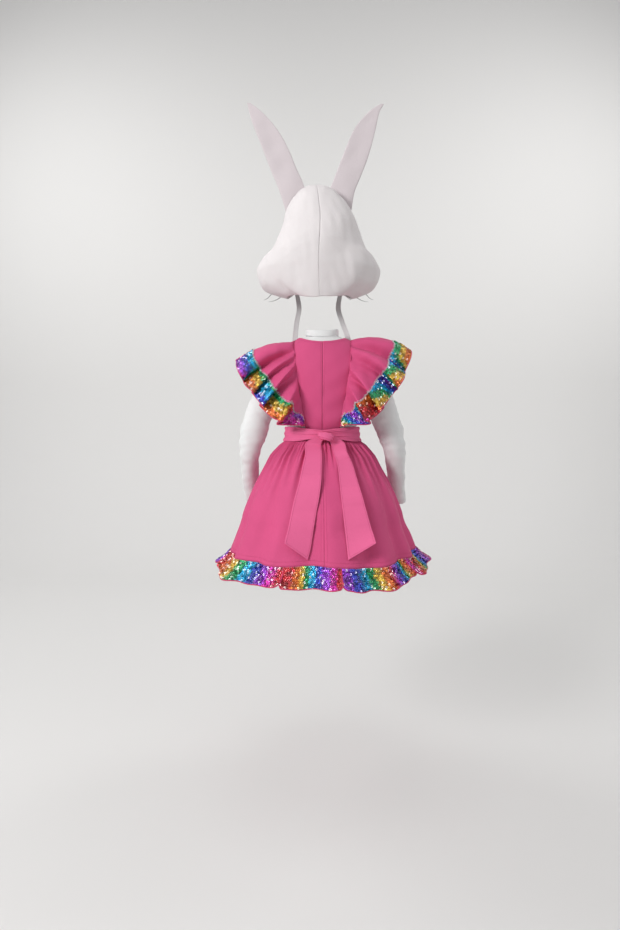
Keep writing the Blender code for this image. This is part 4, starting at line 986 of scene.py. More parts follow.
# %% [markdown]
# ## Rainbow trims on the ruffles
#
# The trim is a band of sequinned net, five and a half centimetres wide, laid on the outer part of
# the ruffle. Its outer edge is caught in a pink binding, and its cut inner edge frays into silvery
# threads. The band is cut as a curve from straight-striped cloth, so its stripes run at a slant
# that changes along the ruffle. A short table gives the colour at the outer and the inner edge,
# fold by fold.

# %% Colours of the rainbow cloth
RAINBOW = np.array([
    (0.620, 0.020, 0.035), (0.900, 0.200, 0.035), (0.860, 0.520, 0.060), (0.010, 0.360, 0.120),
    (0.000, 0.400, 0.720), (0.030, 0.050, 0.500), (0.330, 0.050, 0.620), (0.640, 0.020, 0.380),
])


def rainbow(number):
    """Colours of the printed stripes, from 0 red and 1 orange round to 6 purple and 7 magenta."""
    number = np.asarray(number, float) % 8.0
    low = np.floor(number).astype(int)
    share = soft(number - low, 0.30, 0.70)[..., None]
    return mix(RAINBOW[low], RAINBOW[(low + 1) % 8], share)


def sequin_points(grid, spacing, seed):
    """Evenly spaced sequin places on a grid, as column and row numbers with their fractions."""
    dice = np.random.default_rng(seed)
    rows, columns = grid.shape[:2]
    height = np.linalg.norm(np.diff(grid, axis=0), axis=2).sum(axis=0).mean()
    lines = max(int(height / spacing), 2)
    found = []
    for k in range(lines):
        v = (k + 0.5) / lines * (rows - 1.0)
        low = min(int(v), rows - 2)
        line = mix(grid[low], grid[low + 1], v - low)
        path = path_of(line)
        count = int(path[-1] / (spacing * 0.92))
        at = (np.arange(count) + 0.5 + 0.5 * (k % 2) - 0.25) / count * path[-1]
        at = np.clip(at + dice.normal(0.0, 0.0004, count), 0.0, path[-1])
        u = np.interp(at, path, np.arange(columns))
        found.append(np.stack([u, np.full(count, v)], axis=1))
    return np.concatenate(found)


def grid_read(grid, place):
    """Values of a grid at fractional column and row places."""
    u = np.clip(place[:, 0], 0.0, grid.shape[1] - 1.001)
    v = np.clip(place[:, 1], 0.0, grid.shape[0] - 1.001)
    c = u.astype(int)
    r = v.astype(int)
    fu = (u - c)[:, None]
    fv = (v - r)[:, None]
    return mix(mix(grid[r, c], grid[r, c + 1], fu), mix(grid[r + 1, c], grid[r + 1, c + 1], fu), fv)


SEQUIN_SPACING = 0.0055
SEQUIN_SIZE = 0.0067


def add_sequins(name, grid, outward, colour_of, seed):
    """Rows of sequins over a grid, each with a small tilt of its own; some are turned to the lamp and
    mixed toward white as a painted glint.
    """
    dice = np.random.default_rng(seed + 100)
    place = sequin_points(grid, SEQUIN_SPACING, seed)
    up = unit(grid_read(outward, place))
    spot = grid_read(grid, place) + up * 0.0007
    fall = unit(grid_read(np.gradient(grid, axis=0), place))
    count = len(spot)
    loose = np.where(dice.uniform(0.0, 1.0, (count, 1)) < 0.35, 0.38, 0.16)
    flat_up = up
    up = unit(up - fall * 0.12 + dice.normal(0.0, 1.0, (count, 3)) * loose)
    shine = unit(unit(np.array(KEY_PLACE) - spot) + unit(np.array(CAMERA_PLACE) - spot))
    # sequins turned to mirror the key lamp into the camera; below, their tint is also whitened as a
    # painted glint
    lamp_tilted_painted_glint = (dice.uniform(0.0, 1.0, count) < 0.085) & (np.sum(shine * flat_up, axis=1) > 0.35)
    up = np.where(lamp_tilted_painted_glint[:, None], unit(shine + dice.normal(0.0, 0.07, (count, 3))), up)
    turn = unit(np.cross(fall, up) + dice.normal(0.0, 0.15, (count, 3)))
    size = np.repeat(dice.normal(SEQUIN_SIZE, 0.0004, count)[:, None], 3, axis=1)
    u, v = (place / (np.array(grid.shape[1::-1]) - 1.0)).T
    tint = rainbow(colour_of(u, v) + dice.normal(0.0, 0.10, count))
    # each sequin's tint scaled darker or brighter at random: partly random tone, partly painted light
    # for lit and dim sequins
    tint = np.clip(tint * dice.choice([0.45, 0.75, 1.0, 1.35], (count, 1)), 0.0, 1.0)
    # painted highlight: the sequins turned to the lamp get their tint mixed 40% toward white
    tint = np.where(lamp_tilted_painted_glint[:, None], mix(tint, 1.0, 0.40), tint)
    return repeat(name, SEQUIN_PATTERN, spot, turn, up, SEQUIN_FILM, size, tint)


def tinted_material(name, metallic, roughness, coat):
    """A finish whose colour comes from each sequin's own tint, or from the printed net's."""
    made, tree, shader = new_material(name)
    tint = node(tree, "ShaderNodeAttribute", attribute_name="tint").outputs["Color"]
    wire(tree, shader, {"Base Color": tint, "Metallic": metallic, "Roughness": roughness,
                        "Coat Weight": coat, "Coat Roughness": 0.10})
    return made


SEQUIN_FILM = tinted_material("sequin_film", 0.45, 0.26, 1.0)
PRINTED_NET = tinted_material("printed_net", 0.0, 0.75, 0.0)


def net_colours(grid, colour_of):
    """Colours of the printed net under the sequins, one for each point of a grid."""
    v, u = np.mgrid[0:grid.shape[0], 0:grid.shape[1]]
    return rainbow(colour_of(u / (grid.shape[1] - 1.0), v / (grid.shape[0] - 1.0))) * 0.55


def add_frays(name, line, outward, away, seed):
    """Short loose threads of the cut edge: bent outwards from it, each its own way."""
    dice = np.random.default_rng(seed)
    path = path_of(line)
    place = np.sort(dice.uniform(0.0, path[-1], int(path[-1] / 0.0009)))
    start, lift, push = [on_path(place, path, part) for part in (line, outward, away)]
    along = unit(np.cross(lift, push))
    lines = []
    for base, up, out, side in zip(start, lift, push, along):
        long = dice.uniform(0.002, 0.0065)
        swing = dice.normal(0.0, 0.55)
        curl = dice.normal(0.0, 0.6)
        share = np.linspace(0.0, 1.0, 5)[:, None]
        way = out * (share - 0.25) + side * (swing * share + curl * share ** 2)
        way = way + up * (0.12 + 0.35 * share * (1.0 - share))
        lines.append(base + way * long)
    return tube(name, lines, 0.00026, SILVER_THREAD, 4)


print("rainbow stripes:", len(RAINBOW), "sequin size:", SEQUIN_SIZE)

# %% Sequin bands of the ruffles
# Fold number, colour at the outer edge, colour at the inner edge; each fold shows from n to n + 0.4
STRIPES_LEFT = [(0.9, 8.6, 8.2), (1.02, 8.2, 7.4), (1.10, 7.1, 6.2), (1.45, 7.4, 6.0), (1.9, 9.2, 10.6),
                (2.2, 8.5, 11.2), (2.5, 8.2, 11.3), (2.9, 13.3, 11.2), (3.5, 12.8, 11.6),
                (3.9, 8.9, 11.2), (4.5, 8.1, 10.7), (4.85, 15.0, 11.4), (5.32, 14.3, 11.5),
                (5.38, 16.0, 16.0), (6.0, 16.0, 16.0)]
STRIPES_RIGHT = [(0.9, 8.1, 8.1), (1.0, 8.8, 9.4), (1.45, 13.7, 14.6), (1.9, 7.3, 8.6), (2.5, 8.2, 9.2),
                 (2.85, 8.7, 11.1), (3.22, 9.7, 12.3), (3.45, 14.7, 13.5), (3.85, 8.7, 11.1),
                 (4.22, 9.8, 12.2), (4.42, 14.4, 13.6), (4.8, 8.6, 11.6), (6.0, 8.3, 11.0)]
BAND_WIDTH = 0.056
BAND_FIRST = 24
BAND_LAST = RUFFLE_COLUMNS - BAND_FIRST


def band_of(grid, first, last):
    """The outer part of a ruffle grid, with the same width all along but for its tapered ends."""
    part = grid[:, first:last]
    length = np.linalg.norm(np.diff(part, axis=0), axis=2)
    total = length[::-1].sum(axis=0)
    column = np.arange(first, last)
    near = np.minimum(column, RUFFLE_COLUMNS - 1 - column) / (RUFFLE_COLUMNS - 1.0)
    width = mix(0.55 * total, BAND_WIDTH, soft(near, 0.02, 0.16))
    inner = np.clip(1.0 - width / total, 0.08, 0.9) * (grid.shape[0] - 1.0)
    v = mix(inner[None, :], grid.shape[0] - 1.001, np.linspace(0.0, 1.0, 15)[:, None])
    u = np.broadcast_to(np.arange(part.shape[1])[None, :], v.shape)
    return grid_read(part, np.stack([u.ravel(), v.ravel()], axis=1)).reshape(*v.shape, 3)


# The fold numbers run up the back half and down the front half, so both halves share one table
for name, (side, folds) in RUFFLES.items():
    grid = ruffle_grids[name]
    outward = facing(grid, axis_of(grid))
    lifted = grid + outward * (TRIM_WALL + 0.0003)
    band = band_of(lifted, BAND_FIRST, BAND_LAST)
    out = facing(band, axis_of(band))
    stripes = STRIPES_LEFT if name == "left" else STRIPES_RIGHT

    def colour_of(u, v):
        near = mix(float(BAND_FIRST), BAND_LAST - 1.0, u) / (RUFFLE_COLUMNS - 1.0)
        number = np.interp(np.minimum(near, 1.0 - near), folds, range(len(folds)))
        keys = [s[0] for s in stripes]
        outer = np.interp(number, keys, [s[1] for s in stripes])
        inner = np.interp(number, keys, [s[2] for s in stripes])
        return mix(inner, outer, v)

    item = cloth("rainbow_band_" + name, band, TRIM_WALL, PRINTED_NET,
                 colours=net_colours(band, colour_of))
    belongs(item, "sequin_band_" + name)
    sequins = add_sequins("ruffle_sequins_" + name, band, out, colour_of, 71 if side < 0 else 72)
    binding = tube("ruffle_binding_" + name, [lifted[-1, 6:-6]], 0.0016, BINDING_CLOTH)
    threads = add_frays("frayed_edge_" + name, band[0], out[0], unit(band[0] - band[2]),
                        75 if side < 0 else 76)

# %% [markdown]
# ## Skirt: gathers under the sash, soft folds to the hem
#
# The skirt is a wide panel gathered into the waist. Gathers are small and many at the seam, and
# they join into fewer, deeper folds as they fall, because each fold needs room. Here eighty-eight
# fine waves fade within ten centimetres, thirty-seven join them for twenty, and twelve broad ones
# grow down to the hem. Their phases wander, so that no two folds are alike.

# %% Skirt panels
SKIRT_TOP_Z = -0.262
SKIRT_HEM_Z = -0.579
SKIRT_STEP = math.radians(4.5)
SKIRT = [
    (-0.262, 0.0990, 0.0780),
    (-0.278, 0.1038, 0.0828),
    (-0.291, 0.1168, 0.0965),
    (-0.319, 0.1410, 0.1240),
    (-0.353, 0.1610, 0.1480),
    (-0.392, 0.1820, 0.1720),
    (-0.428, 0.1990, 0.1900),
    (-0.472, 0.2140, 0.2080),
    (-0.501, 0.2210, 0.2180),
    (-0.540, 0.2360, 0.2350),
    (-0.579, 0.2520, 0.2520),
]


def skirt_point(angle, share):
    """Points of the gathered skirt; share 0 is the waist, 1 the hem."""
    angle, share = np.broadcast_arrays(np.asarray(angle, float), np.asarray(share, float))
    z = mix(SKIRT_TOP_Z, SKIRT_HEM_Z, share)
    size = rows_by_key(SKIRT, z)
    wander = (1.3 * np.sin(3.0 * angle + 0.4) + 0.8 * np.sin(7.0 * angle)
              + 0.5 * np.sin(11.0 * angle + 2.0 * share))
    fine = 0.0033 * soft(share, 0.02, 0.09) * (1.0 - soft(share, 0.08, 0.32))
    ripple = fine * np.sin(88.0 * angle + wander * 1.6) * (1.0 + 0.5 * np.sin(13.0 * angle + 1.0))
    join = 0.0046 * soft(share, 0.05, 0.15) * (1.0 - soft(share, 0.2, 0.62))
    ripple += join * np.sin(37.0 * angle + wander * 1.3 + 1.0)
    broad = 12.0 * angle + 0.9 * np.sin(2.0 * angle + 0.5) + 0.5 * share
    ripple += 0.0085 * soft(share, 0.10, 0.85) * (np.sin(broad) + 0.22 * np.sin(2.0 * broad + 0.8))
    ripple += 0.0035 * soft(share, 0.3, 1.0) * np.sin(5.0 * angle + 1.0)
    lift = 0.004 * np.sin(3.0 * angle + 0.6) + 0.0025 * np.sin(7.0 * angle)
    x = (size[..., 0] + ripple) * np.cos(angle)
    y = (size[..., 1] + ripple) * np.sin(angle)
    return stack(x, y, z + lift * share * share)


def skirt_grid(start, end, columns, rows):
    """Grid of a skirt panel between two angles."""
    angle = np.linspace(start, end, columns)[None, :]
    share = (np.linspace(0.0, 1.0, rows) ** 1.15)[:, None]
    return skirt_point(angle, share)


skirt_panels = (
    ("skirt_panel_front", "skirt_front", 0.0, math.pi, 420, 0.0),
    ("skirt_panel_left", "skirt_back_left", -math.pi, -math.pi / 2.0, 210, 1.0),
    ("skirt_panel_right", "skirt_back_right", -math.pi / 2.0, 0.0, 210, -1.0),
)
for name, solid, start, end, columns, seam_side in skirt_panels:
    grid = skirt_grid(start + 0.0009, end - 0.0009, columns, 64)
    grid = handled(grid, 0.055, 0.0007, 41)
    if seam_side != 0.0:
        grid = pinched(grid, "last" if seam_side > 0 else "first", 0.0008, 0.004)
        out = facing(grid, axis_of(grid))
        column = -5 if seam_side > 0 else 4
        sewn[name.replace("panel", "seam")] = (grid[10:-2, column], out[10:-2, column])
    sewn[name.replace("panel", "hem")] = (grid[-3], facing(grid, axis_of(grid))[-3])
    item = cloth(name, grid, DRESS_WALL, PINK_WEAVE)
    belongs(item, solid)

# %% [markdown]
# ## Hem flounce in eight overlapping strips
#
# The flounce is not one ring. It is sewn on in strips, each with rounded lower corners, so that
# gaps open between them as the skirt swings. The strips flare out at the hem. Their cloth is
# stiffened by the sequins, so it stands in slow waves instead of hanging flat.

# %% Flounce strips
# First and last column round the hem, and the drop at the start, middle and end
STRIPS = [
    (1, 15, 0.054, 0.060, 0.047),
    (15, 22, 0.052, 0.056, 0.050),
    (22, 33, 0.053, 0.057, 0.052),
    (33, 41, 0.050, 0.055, 0.052),
    (41, 51, 0.052, 0.058, 0.050),
    (51, 61, 0.050, 0.057, 0.052),
    (61, 71, 0.052, 0.058, 0.050),
    (71, 81, 0.050, 0.056, 0.052),
]


def strip_point(column, drop, down):
    """Points of a hem strip, flaring out from the skirt's lower edge."""
    angle = -math.pi + column * SKIRT_STEP
    top = skirt_point(angle, 1.0)
    top = top + unit(top - skirt_point(angle, 0.97)) * 0.0005
    outward = stack(np.cos(angle), np.sin(angle), 0.0)
    slope = np.radians(mix(28.0, 50.0, np.cos(angle) ** 2))
    reach = drop * down
    waves = np.sin(19.0 * angle + 1.5 * np.sin(5.0 * angle))
    curl = 0.004 * np.sin(math.pi * down) - 0.0035 * down ** 2 * waves
    fall = stack(0.0, 0.0, -np.cos(slope) * reach)
    return top + outward * (np.sin(slope) * reach - curl)[..., None] + fall


def strip_form(strip, places, down):
    """Grid of one hem strip with rounded lower corners."""
    start, end, first, middle, last = strip
    share = (places - start) / (end - start)
    drop = rows_at([(first,), (middle,), (last,)], share * 2.0)[..., 0]
    corner = np.minimum(share, 1.0 - share)
    drop = drop * (0.84 + 0.16 * np.sin(0.5 * math.pi * np.minimum(corner / 0.05, 1.0)))
    drop = drop * (1.0 + 0.020 * np.sin(places * 1.9))
    return strip_point(places[None, :], drop[None, :], down[:, None])


# Stripe colours along each strip, evenly spread: the three at the back first
STRIP_COLOURS = [
    [(0.0, 0.2), (0.30, 1.0), (0.42, 2.0), (0.52, 3.0), (0.62, 4.0), (0.72, 5.0), (0.82, 6.0),
     (0.90, 7.0), (1.0, 8.2)],
    [(0.0, 0.0), (0.15, 0.3), (0.28, 1.4), (0.40, 3.0), (0.51, 4.0), (0.62, 5.0), (0.74, 6.0),
     (0.88, 7.0), (1.0, 8.6)],
    [(0.0, 6.4), (0.16, 5.0), (0.27, 4.0), (0.36, 3.0), (0.44, 2.0), (0.56, 0.4), (0.66, -2.0),
     (0.78, -3.4), (0.86, -5.0), (0.93, -6.5), (1.0, -8.0)],
]


def strip_colour(number, u, v):
    """Colour along a strip; the strips not seen from behind repeat the stripes in order."""
    if number <= len(STRIP_COLOURS):
        stops = STRIP_COLOURS[number - 1]
        return np.interp(u, [s[0] for s in stops], [s[1] for s in stops]) + 0.25 * (v - 0.5)
    return number * 1.7 + 9.0 * u


flounce_edges = []
for number, strip in enumerate(STRIPS, start=1):
    places = np.linspace(strip[0] + 0.03, strip[1] - 0.03, int((strip[1] - strip[0]) * 14))
    grid = strip_form(strip, places, np.linspace(0.0, 1.0, 20))

    def stripe_at(u, v):
        return strip_colour(number, u, v)

    printed = net_colours(grid, stripe_at)
    item = cloth("flounce_strip_%d" % number, grid, RUFFLE_WALL, PRINTED_NET, colours=printed)
    belongs(item, "hem_strip_%d" % number)
    out = facing(grid, axis_of(grid))
    sequins = add_sequins("flounce_sequins_%d" % number, grid, out, stripe_at, 80 + number)
    flounce_edges.append(np.concatenate([grid[:, 0], grid[-1, 1:], grid[-2::-1, -1]]))
tube("flounce_bindings", flounce_edges, 0.0015, BINDING_CLOTH)

# %% [markdown]
# ## Sash with its knot and tails
#
# A long band is wrapped once round the waist and tied at the back. The pull gathers its width, so
# pleats run along it and crowd together at the knot. The tails are the ends of the same band: they
# start narrow under the knot, spread to full width, and are cut at a slant.

# %% Sash band and tails
SASH_WALL = 0.0022
SASH = [
    (-0.2395, 0.1030, 0.0840),
    (-0.2450, 0.1045, 0.0860),
    (-0.2520, 0.1050, 0.0868),
    (-0.2590, 0.1052, 0.0870),
    (-0.2660, 0.1058, 0.0878),
    (-0.2730, 0.1075, 0.0898),
    (-0.2790, 0.1095, 0.0922),
]
KNOT_CENTRE = np.array([0.0075, -0.1060, -0.2650])
TAIL_LEFT = [
    (-0.0160, -0.2620, 0.0040, -0.2700, 0.0000, 0.000),
    (-0.0450, -0.2830, -0.0040, -0.2850, 0.0000, 0.000),
    (-0.0470, -0.3120, -0.0030, -0.3120, 0.0020, 0.002),
    (-0.0540, -0.3450, -0.0040, -0.3440, 0.0030, 0.002),
    (-0.0620, -0.3800, -0.0060, -0.3780, 0.0020, -0.002),
    (-0.0720, -0.4150, -0.0110, -0.4150, 0.0010, -0.002),
    (-0.0800, -0.4500, -0.0180, -0.4520, 0.0000, 0.000),
    (-0.0870, -0.4850, -0.0250, -0.4920, 0.0010, 0.002),
    (-0.0930, -0.5080, -0.0320, -0.5350, 0.0020, 0.001),
    (-0.0950, -0.5200, -0.0390, -0.5600, 0.0020, 0.000),
]
TAIL_RIGHT = [
    (0.0105, -0.2700, 0.0290, -0.2620, 0.0000, 0.000),
    (0.0214, -0.2850, 0.0570, -0.2820, 0.0000, 0.000),
    (0.0270, -0.3060, 0.0620, -0.3040, 0.0030, -0.003),
    (0.0360, -0.3350, 0.0760, -0.3360, 0.0030, 0.003),
    (0.0400, -0.3750, 0.0860, -0.3740, 0.0020, 0.002),
    (0.0430, -0.4120, 0.0960, -0.4100, 0.0010, -0.002),
    (0.0470, -0.4500, 0.1050, -0.4450, 0.0000, 0.001),
    (0.0510, -0.4900, 0.1140, -0.4800, 0.0010, 0.002),
    (0.0550, -0.5330, 0.1210, -0.5050, 0.0020, 0.000),
    (0.0570, -0.5580, 0.1240, -0.5170, 0.0020, 0.000),
]
TAIL_TOP_Y = -0.0946
TAIL_WALL = 0.8 * SASH_WALL


def sash_point(angle, level):
    """Points of the sash band; its pleats pull together at the knot."""
    row = rows_at(SASH, level)
    near = 1.0 - soft(np.abs(angle + math.pi / 2.0), 0.05, 1.0)
    right = soft(np.cos(angle), -0.1, 0.35) * near
    pull = 0.45 * near * (1.0 - 0.2 * soft(np.abs(angle + 1.5), 0.0, 0.35))
    z = mix(row[..., 0], -0.2600, pull)
    pleat = 0.0012 * np.sin(level * 2.6 + 2.0 * np.sin(angle * 2.0))
    pleat = pleat + 0.0011 * (near + right) * np.sin(level * 7.5 + 3.0 * np.sin(angle * 1.5 + 0.6))
    return stack((row[..., 1] + pleat) * np.cos(angle),
                 (row[..., 2] + pleat + 0.002 * near) * np.sin(angle), z)


def skirt_back_y(x, z):
    """Depth of the skirt's outer face at the back."""
    share = (SKIRT_TOP_Z - z) / (SKIRT_TOP_Z - SKIRT_HEM_Z)
    angle = np.full_like(x, -math.pi / 2.0)
    for _ in range(6):
        p = skirt_point(angle, share)
        angle = -np.arccos(np.clip(x / np.hypot(p[..., 0], p[..., 1]), -0.95, 0.95))
    return skirt_point(angle, share)[..., 1]


def tail_form(table, rest_gap, rows, columns):
    """Points of a hanging tail that lies over the back of the skirt."""
    row = rows_at(table, np.linspace(0.0, len(table) - 1.0, rows))[:, None, :]
    share = np.linspace(0.0, 1.0, columns)[None, :]
    x = mix(row[..., 0], row[..., 2], share)
    z = mix(row[..., 1], row[..., 3], share)
    rest = skirt_back_y(x, z).min(axis=1, keepdims=True)
    top = soft(0.5 * (row[..., 1] + row[..., 3]), -0.300, -0.275)
    rest = mix(rest - rest_gap - row[..., 4], TAIL_TOP_Y, top)
    return stack(x, rest - np.abs(row[..., 5]) + row[..., 5] * (share - 0.5) * 2.0, z)


angle = np.linspace(0.0, 2.0 * math.pi, 320, endpoint=False)[None, :]
angle = np.where(angle > math.pi, angle - 2.0 * math.pi, angle)
band = sash_point(angle, np.linspace(0.0, len(SASH) - 1.0, 32)[:, None])
item = cloth("waist_sash", band, SASH_WALL, PINK_SASH, closed=True)
belongs(item, "sash_band")
for name, table, gap in (("left", TAIL_LEFT, 0.0050), ("right", TAIL_RIGHT, 0.0020)):
    grid = tail_form(table, gap, 150, 34)
    item = cloth("waist_sash_tail_" + name, grid, TAIL_WALL, PINK_SASH)
    belongs(item, "sash_tail_" + name)
    out = facing(grid, axis_of(grid))
    for part, rows, columns in (("side", slice(8, -4), 2), ("end", -4, slice(2, -2)),
                                ("edge", slice(8, -4), -3)):
        sewn["tail_%s_%s" % (part, name)] = (grid[rows, columns], out[rows, columns])

# %% Knot of the sash
def make_knot():
    """A soft lump of folded cloth with the band's pleats wound over it."""
    lat = np.linspace(-0.5 * math.pi + 0.02, 0.5 * math.pi - 0.02, 50)[:, None]
    lon = np.linspace(0.0, 2.0 * math.pi, 84, endpoint=False)[None, :]
    wrap = 1.0 + 0.05 * np.sin(3.0 * lat + 2.0 * lon)
    lines = np.abs(np.sin(4.2 * lat + 0.9 * np.sin(lon + 0.4) + 0.6 * np.cos(lon)))
    wrap = wrap * (0.95 + 0.14 * lines ** 0.6 * np.cos(lat) ** 0.5)
    x = 0.0200 * np.cos(lat) ** 0.45 * np.cos(lon) * wrap
    y = 0.0110 * np.cos(lat) ** 0.6 * np.sin(lon) * wrap
    z = 0.0108 * np.sin(lat) * wrap - 0.16 * x
    grid = stack(x, y, z) + KNOT_CENTRE
    item = cloth("waist_sash_knot", grid, 0.002, PINK_SASH, closed=True, middle=KNOT_CENTRE)
    belongs(item, "sash_knot")


make_knot()

# %% [markdown]
# ## Hood, a soft shell over foam
#
# The hood is sewn from two back panels and one front panel that holds the face opening. The cloth
# is bonded to thin foam, so the wall is about six millimetres thick, seams sink into it, and edges
# are round. Its outline is a dome above and wide cheek lobes below. The seam lines are made as
# narrow valleys in the form itself, because foam closes over the thread and hides it.

# %% Form of the hood
HOOD_WALL = 0.006
HOOD_CENTRE_X = -0.009
HOOD = [
    (0.4290, 0.0000, 0.0000, 0.0000, -0.0110),
    (0.4255, 0.0270, 0.0280, 0.0270, -0.0090),
    (0.4140, 0.0500, 0.0530, 0.0500, -0.0065),
    (0.3900, 0.0730, 0.0770, 0.0720, -0.0040),
    (0.3590, 0.0900, 0.0960, 0.0890, -0.0015),
    (0.3200, 0.1040, 0.1100, 0.1000, 0.0020),
    (0.2750, 0.1200, 0.1200, 0.1050, 0.0010),
    (0.2470, 0.1340, 0.1230, 0.1070, 0.0000),
    (0.2270, 0.1560, 0.1230, 0.1070, -0.0010),
    (0.1990, 0.1710, 0.1210, 0.1050, -0.0015),
    (0.1770, 0.1700, 0.1170, 0.1020, -0.0015),
    (0.1490, 0.1580, 0.1110, 0.0960, -0.0010),
    (0.1290, 0.1250, 0.1060, 0.0900, 0.0000),
    (0.1170, 0.0900, 0.1020, 0.0840, 0.0000),
]
LAST_HOOD_LEVEL = len(HOOD) - 1.0
HOOD_ROWS = 110
BACK_COLUMNS = 80
FRONT_COLUMNS = 60
CENTRE_BACK_TURN = -89.97
SIDE_SEAM_TURN = 8.0
HOOD_MIDDLE = np.array([HOOD_CENTRE_X, 0.0, 0.25])


def hood_side(turn, level, side):
    """Points of the hood's outer face; turn -90 is the centre back, +90 the front."""
    turn, level = np.broadcast_arrays(np.asarray(turn, float), np.asarray(level, float))
    row = rows_at(HOOD, level)
    c = np.cos(np.radians(turn))
    s = np.sin(np.radians(turn))
    lobe = soft(level, 6.5, 8.5)
    x = row[..., 1] * np.abs(c) ** mix(0.90, 1.12, lobe)
    depth = np.where(s < 0, row[..., 2], row[..., 3])
    y = depth * np.sign(s) * np.abs(s) ** mix(0.90, 0.86, lobe)
    crease = np.exp(-((turn + 38.0) / 9.0) ** 2) * soft(level, 9.0, 12.5)
    x = x - 0.0115 * crease
    tilt = -0.014 * soft(-turn, 25.0, 80.0) + 0.045 * soft(turn, 0.0, 70.0)
    rise = tilt * np.maximum(level - 11.0, 0.0) / 2.0
    return stack(side * x + HOOD_CENTRE_X + row[..., 4], y, row[..., 0] + rise)


def hood_levels(count):
    """Levels with more rings near the crown, where the dome is round."""
    return LAST_HOOD_LEVEL * np.linspace(0.0, 1.0, count) ** 1.25


def shell_of(name, points, faces, material, uv):
    """Welds a face list, turns it outwards, gives it the foam's wall and keeps the plain mesh."""
    item = mesh_object(name, points, faces, material, uv)
    work = bmesh.new()
    work.from_mesh(item.data)
    bmesh.ops.remove_doubles(work, verts=work.verts, dist=0.00002)
    bmesh.ops.recalc_face_normals(work, faces=work.faces)
    middle = mathutils.Vector(HOOD_MIDDLE)
    outward = sum((f.calc_center_median() - middle).dot(f.normal) for f in work.faces)
    if outward < 0.0:
        bmesh.ops.reverse_faces(work, faces=work.faces)
    work.to_mesh(item.data)
    work.free()
    wall = item.modifiers.new("wall", "SOLIDIFY")
    wall.thickness = HOOD_WALL
    wall.offset = -1.0
    keep_result(item)
    item.data.shade_smooth()
    print(name, "has", len(item.data.polygons), "faces")
    return item


def grid_quads(rows, columns, first=0):
    """Quads of a grid kept row by row."""
    number = np.arange(rows * columns).reshape(rows, columns) + first
    corners = [number[:-1, :-1], number[:-1, 1:], number[1:, 1:], number[1:, :-1]]
    return np.stack(corners, axis=-1).reshape(-1, 4).tolist()


def opening_turn(level):
    """Turn of the face opening's edge at a level of the hood."""
    levels = [4.0, 4.12, 4.35, 4.8, 5.6, 7.0, 9.0, 11.0, 13.0]
    return np.interp(level, levels, [90.0, 79.0, 71.0, 65.0, 61.5, 62.0, 62.0, 58.0, 48.0])


def foam_form(grid):
    """Slow unevenness of foam under cloth."""
    away = unit(grid - HOOD_MIDDLE)
    push = 0.0016 * ripples(grid, 0.09, 51) + 0.0005 * ripples(grid, 0.03, 52)
    return grid + away * push[..., None]


def make_hood():
    """Two back panels and the front panel with its arched face opening."""
    levels = hood_levels(HOOD_ROWS)[:, None]
    for name, side in SIDES:
        turn = np.linspace(CENTRE_BACK_TURN, SIDE_SEAM_TURN, BACK_COLUMNS)[None, :]
        grid = hood_side(turn, levels, side)
        grid[..., 0] += side * 0.00003
        grid = foam_form(grid)
        inward = unit(HOOD_MIDDLE - grid)
        seam = 0.22 * np.exp(-((turn + 90.0) / 1.6) ** 2) * soft(levels, 0.0, 1.5)
        seam = seam + np.exp(-((turn - SIDE_SEAM_TURN) / 1.4) ** 2)
        grid = grid + inward * (0.0012 * seam)[..., None]
        item = shell_of("hood_panel_" + name, grid.reshape(-1, 3), grid_quads(HOOD_ROWS, BACK_COLUMNS),
                        HOOD_FLEECE, grid_uv(grid).reshape(-1, 2))
        belongs(item, "hood_" + name)
    points = []
    uvs = []
    faces = []
    for side in (1.0, -1.0):
        share = np.linspace(0.0, 1.0, FRONT_COLUMNS)[None, :]
        turn = mix(SIDE_SEAM_TURN + 0.25, opening_turn(levels), share)
        grid = foam_form(hood_side(turn, levels, side) + np.array([0.0, 0.0005, 0.0]))
        seam = np.exp(-((turn - SIDE_SEAM_TURN) / 1.4) ** 2)
        grid = grid + unit(HOOD_MIDDLE - grid) * (0.0016 * seam)[..., None]
        centre = (turn > 89.9)[..., None] * np.array([1.0, 0.0, 0.0])
        grid = grid * (1.0 - centre) + centre * (HOOD_CENTRE_X + rows_at(HOOD, levels)[..., 4:5])
        faces += grid_quads(HOOD_ROWS, FRONT_COLUMNS, len(points) * HOOD_ROWS * FRONT_COLUMNS)
        points.append(grid.reshape(-1, 3))
        uvs.append(grid_uv(grid).reshape(-1, 2))
    item = shell_of("hood_front_panel", np.concatenate(points), faces, HOOD_FLEECE,
                    np.concatenate(uvs))
    belongs(item, "hood_front")


make_hood()

# %% [markdown]
# ## Ears
#
# Each ear is cut twice, sewn along its edge, turned and lightly stuffed. So it is fat in the
# middle and thin at the seam, and it keeps a shallow dent where it was folded. The form is a flat
# sheet with an outline and a soft cup, and each half stands off that sheet by the thickness of the
# stuffing.

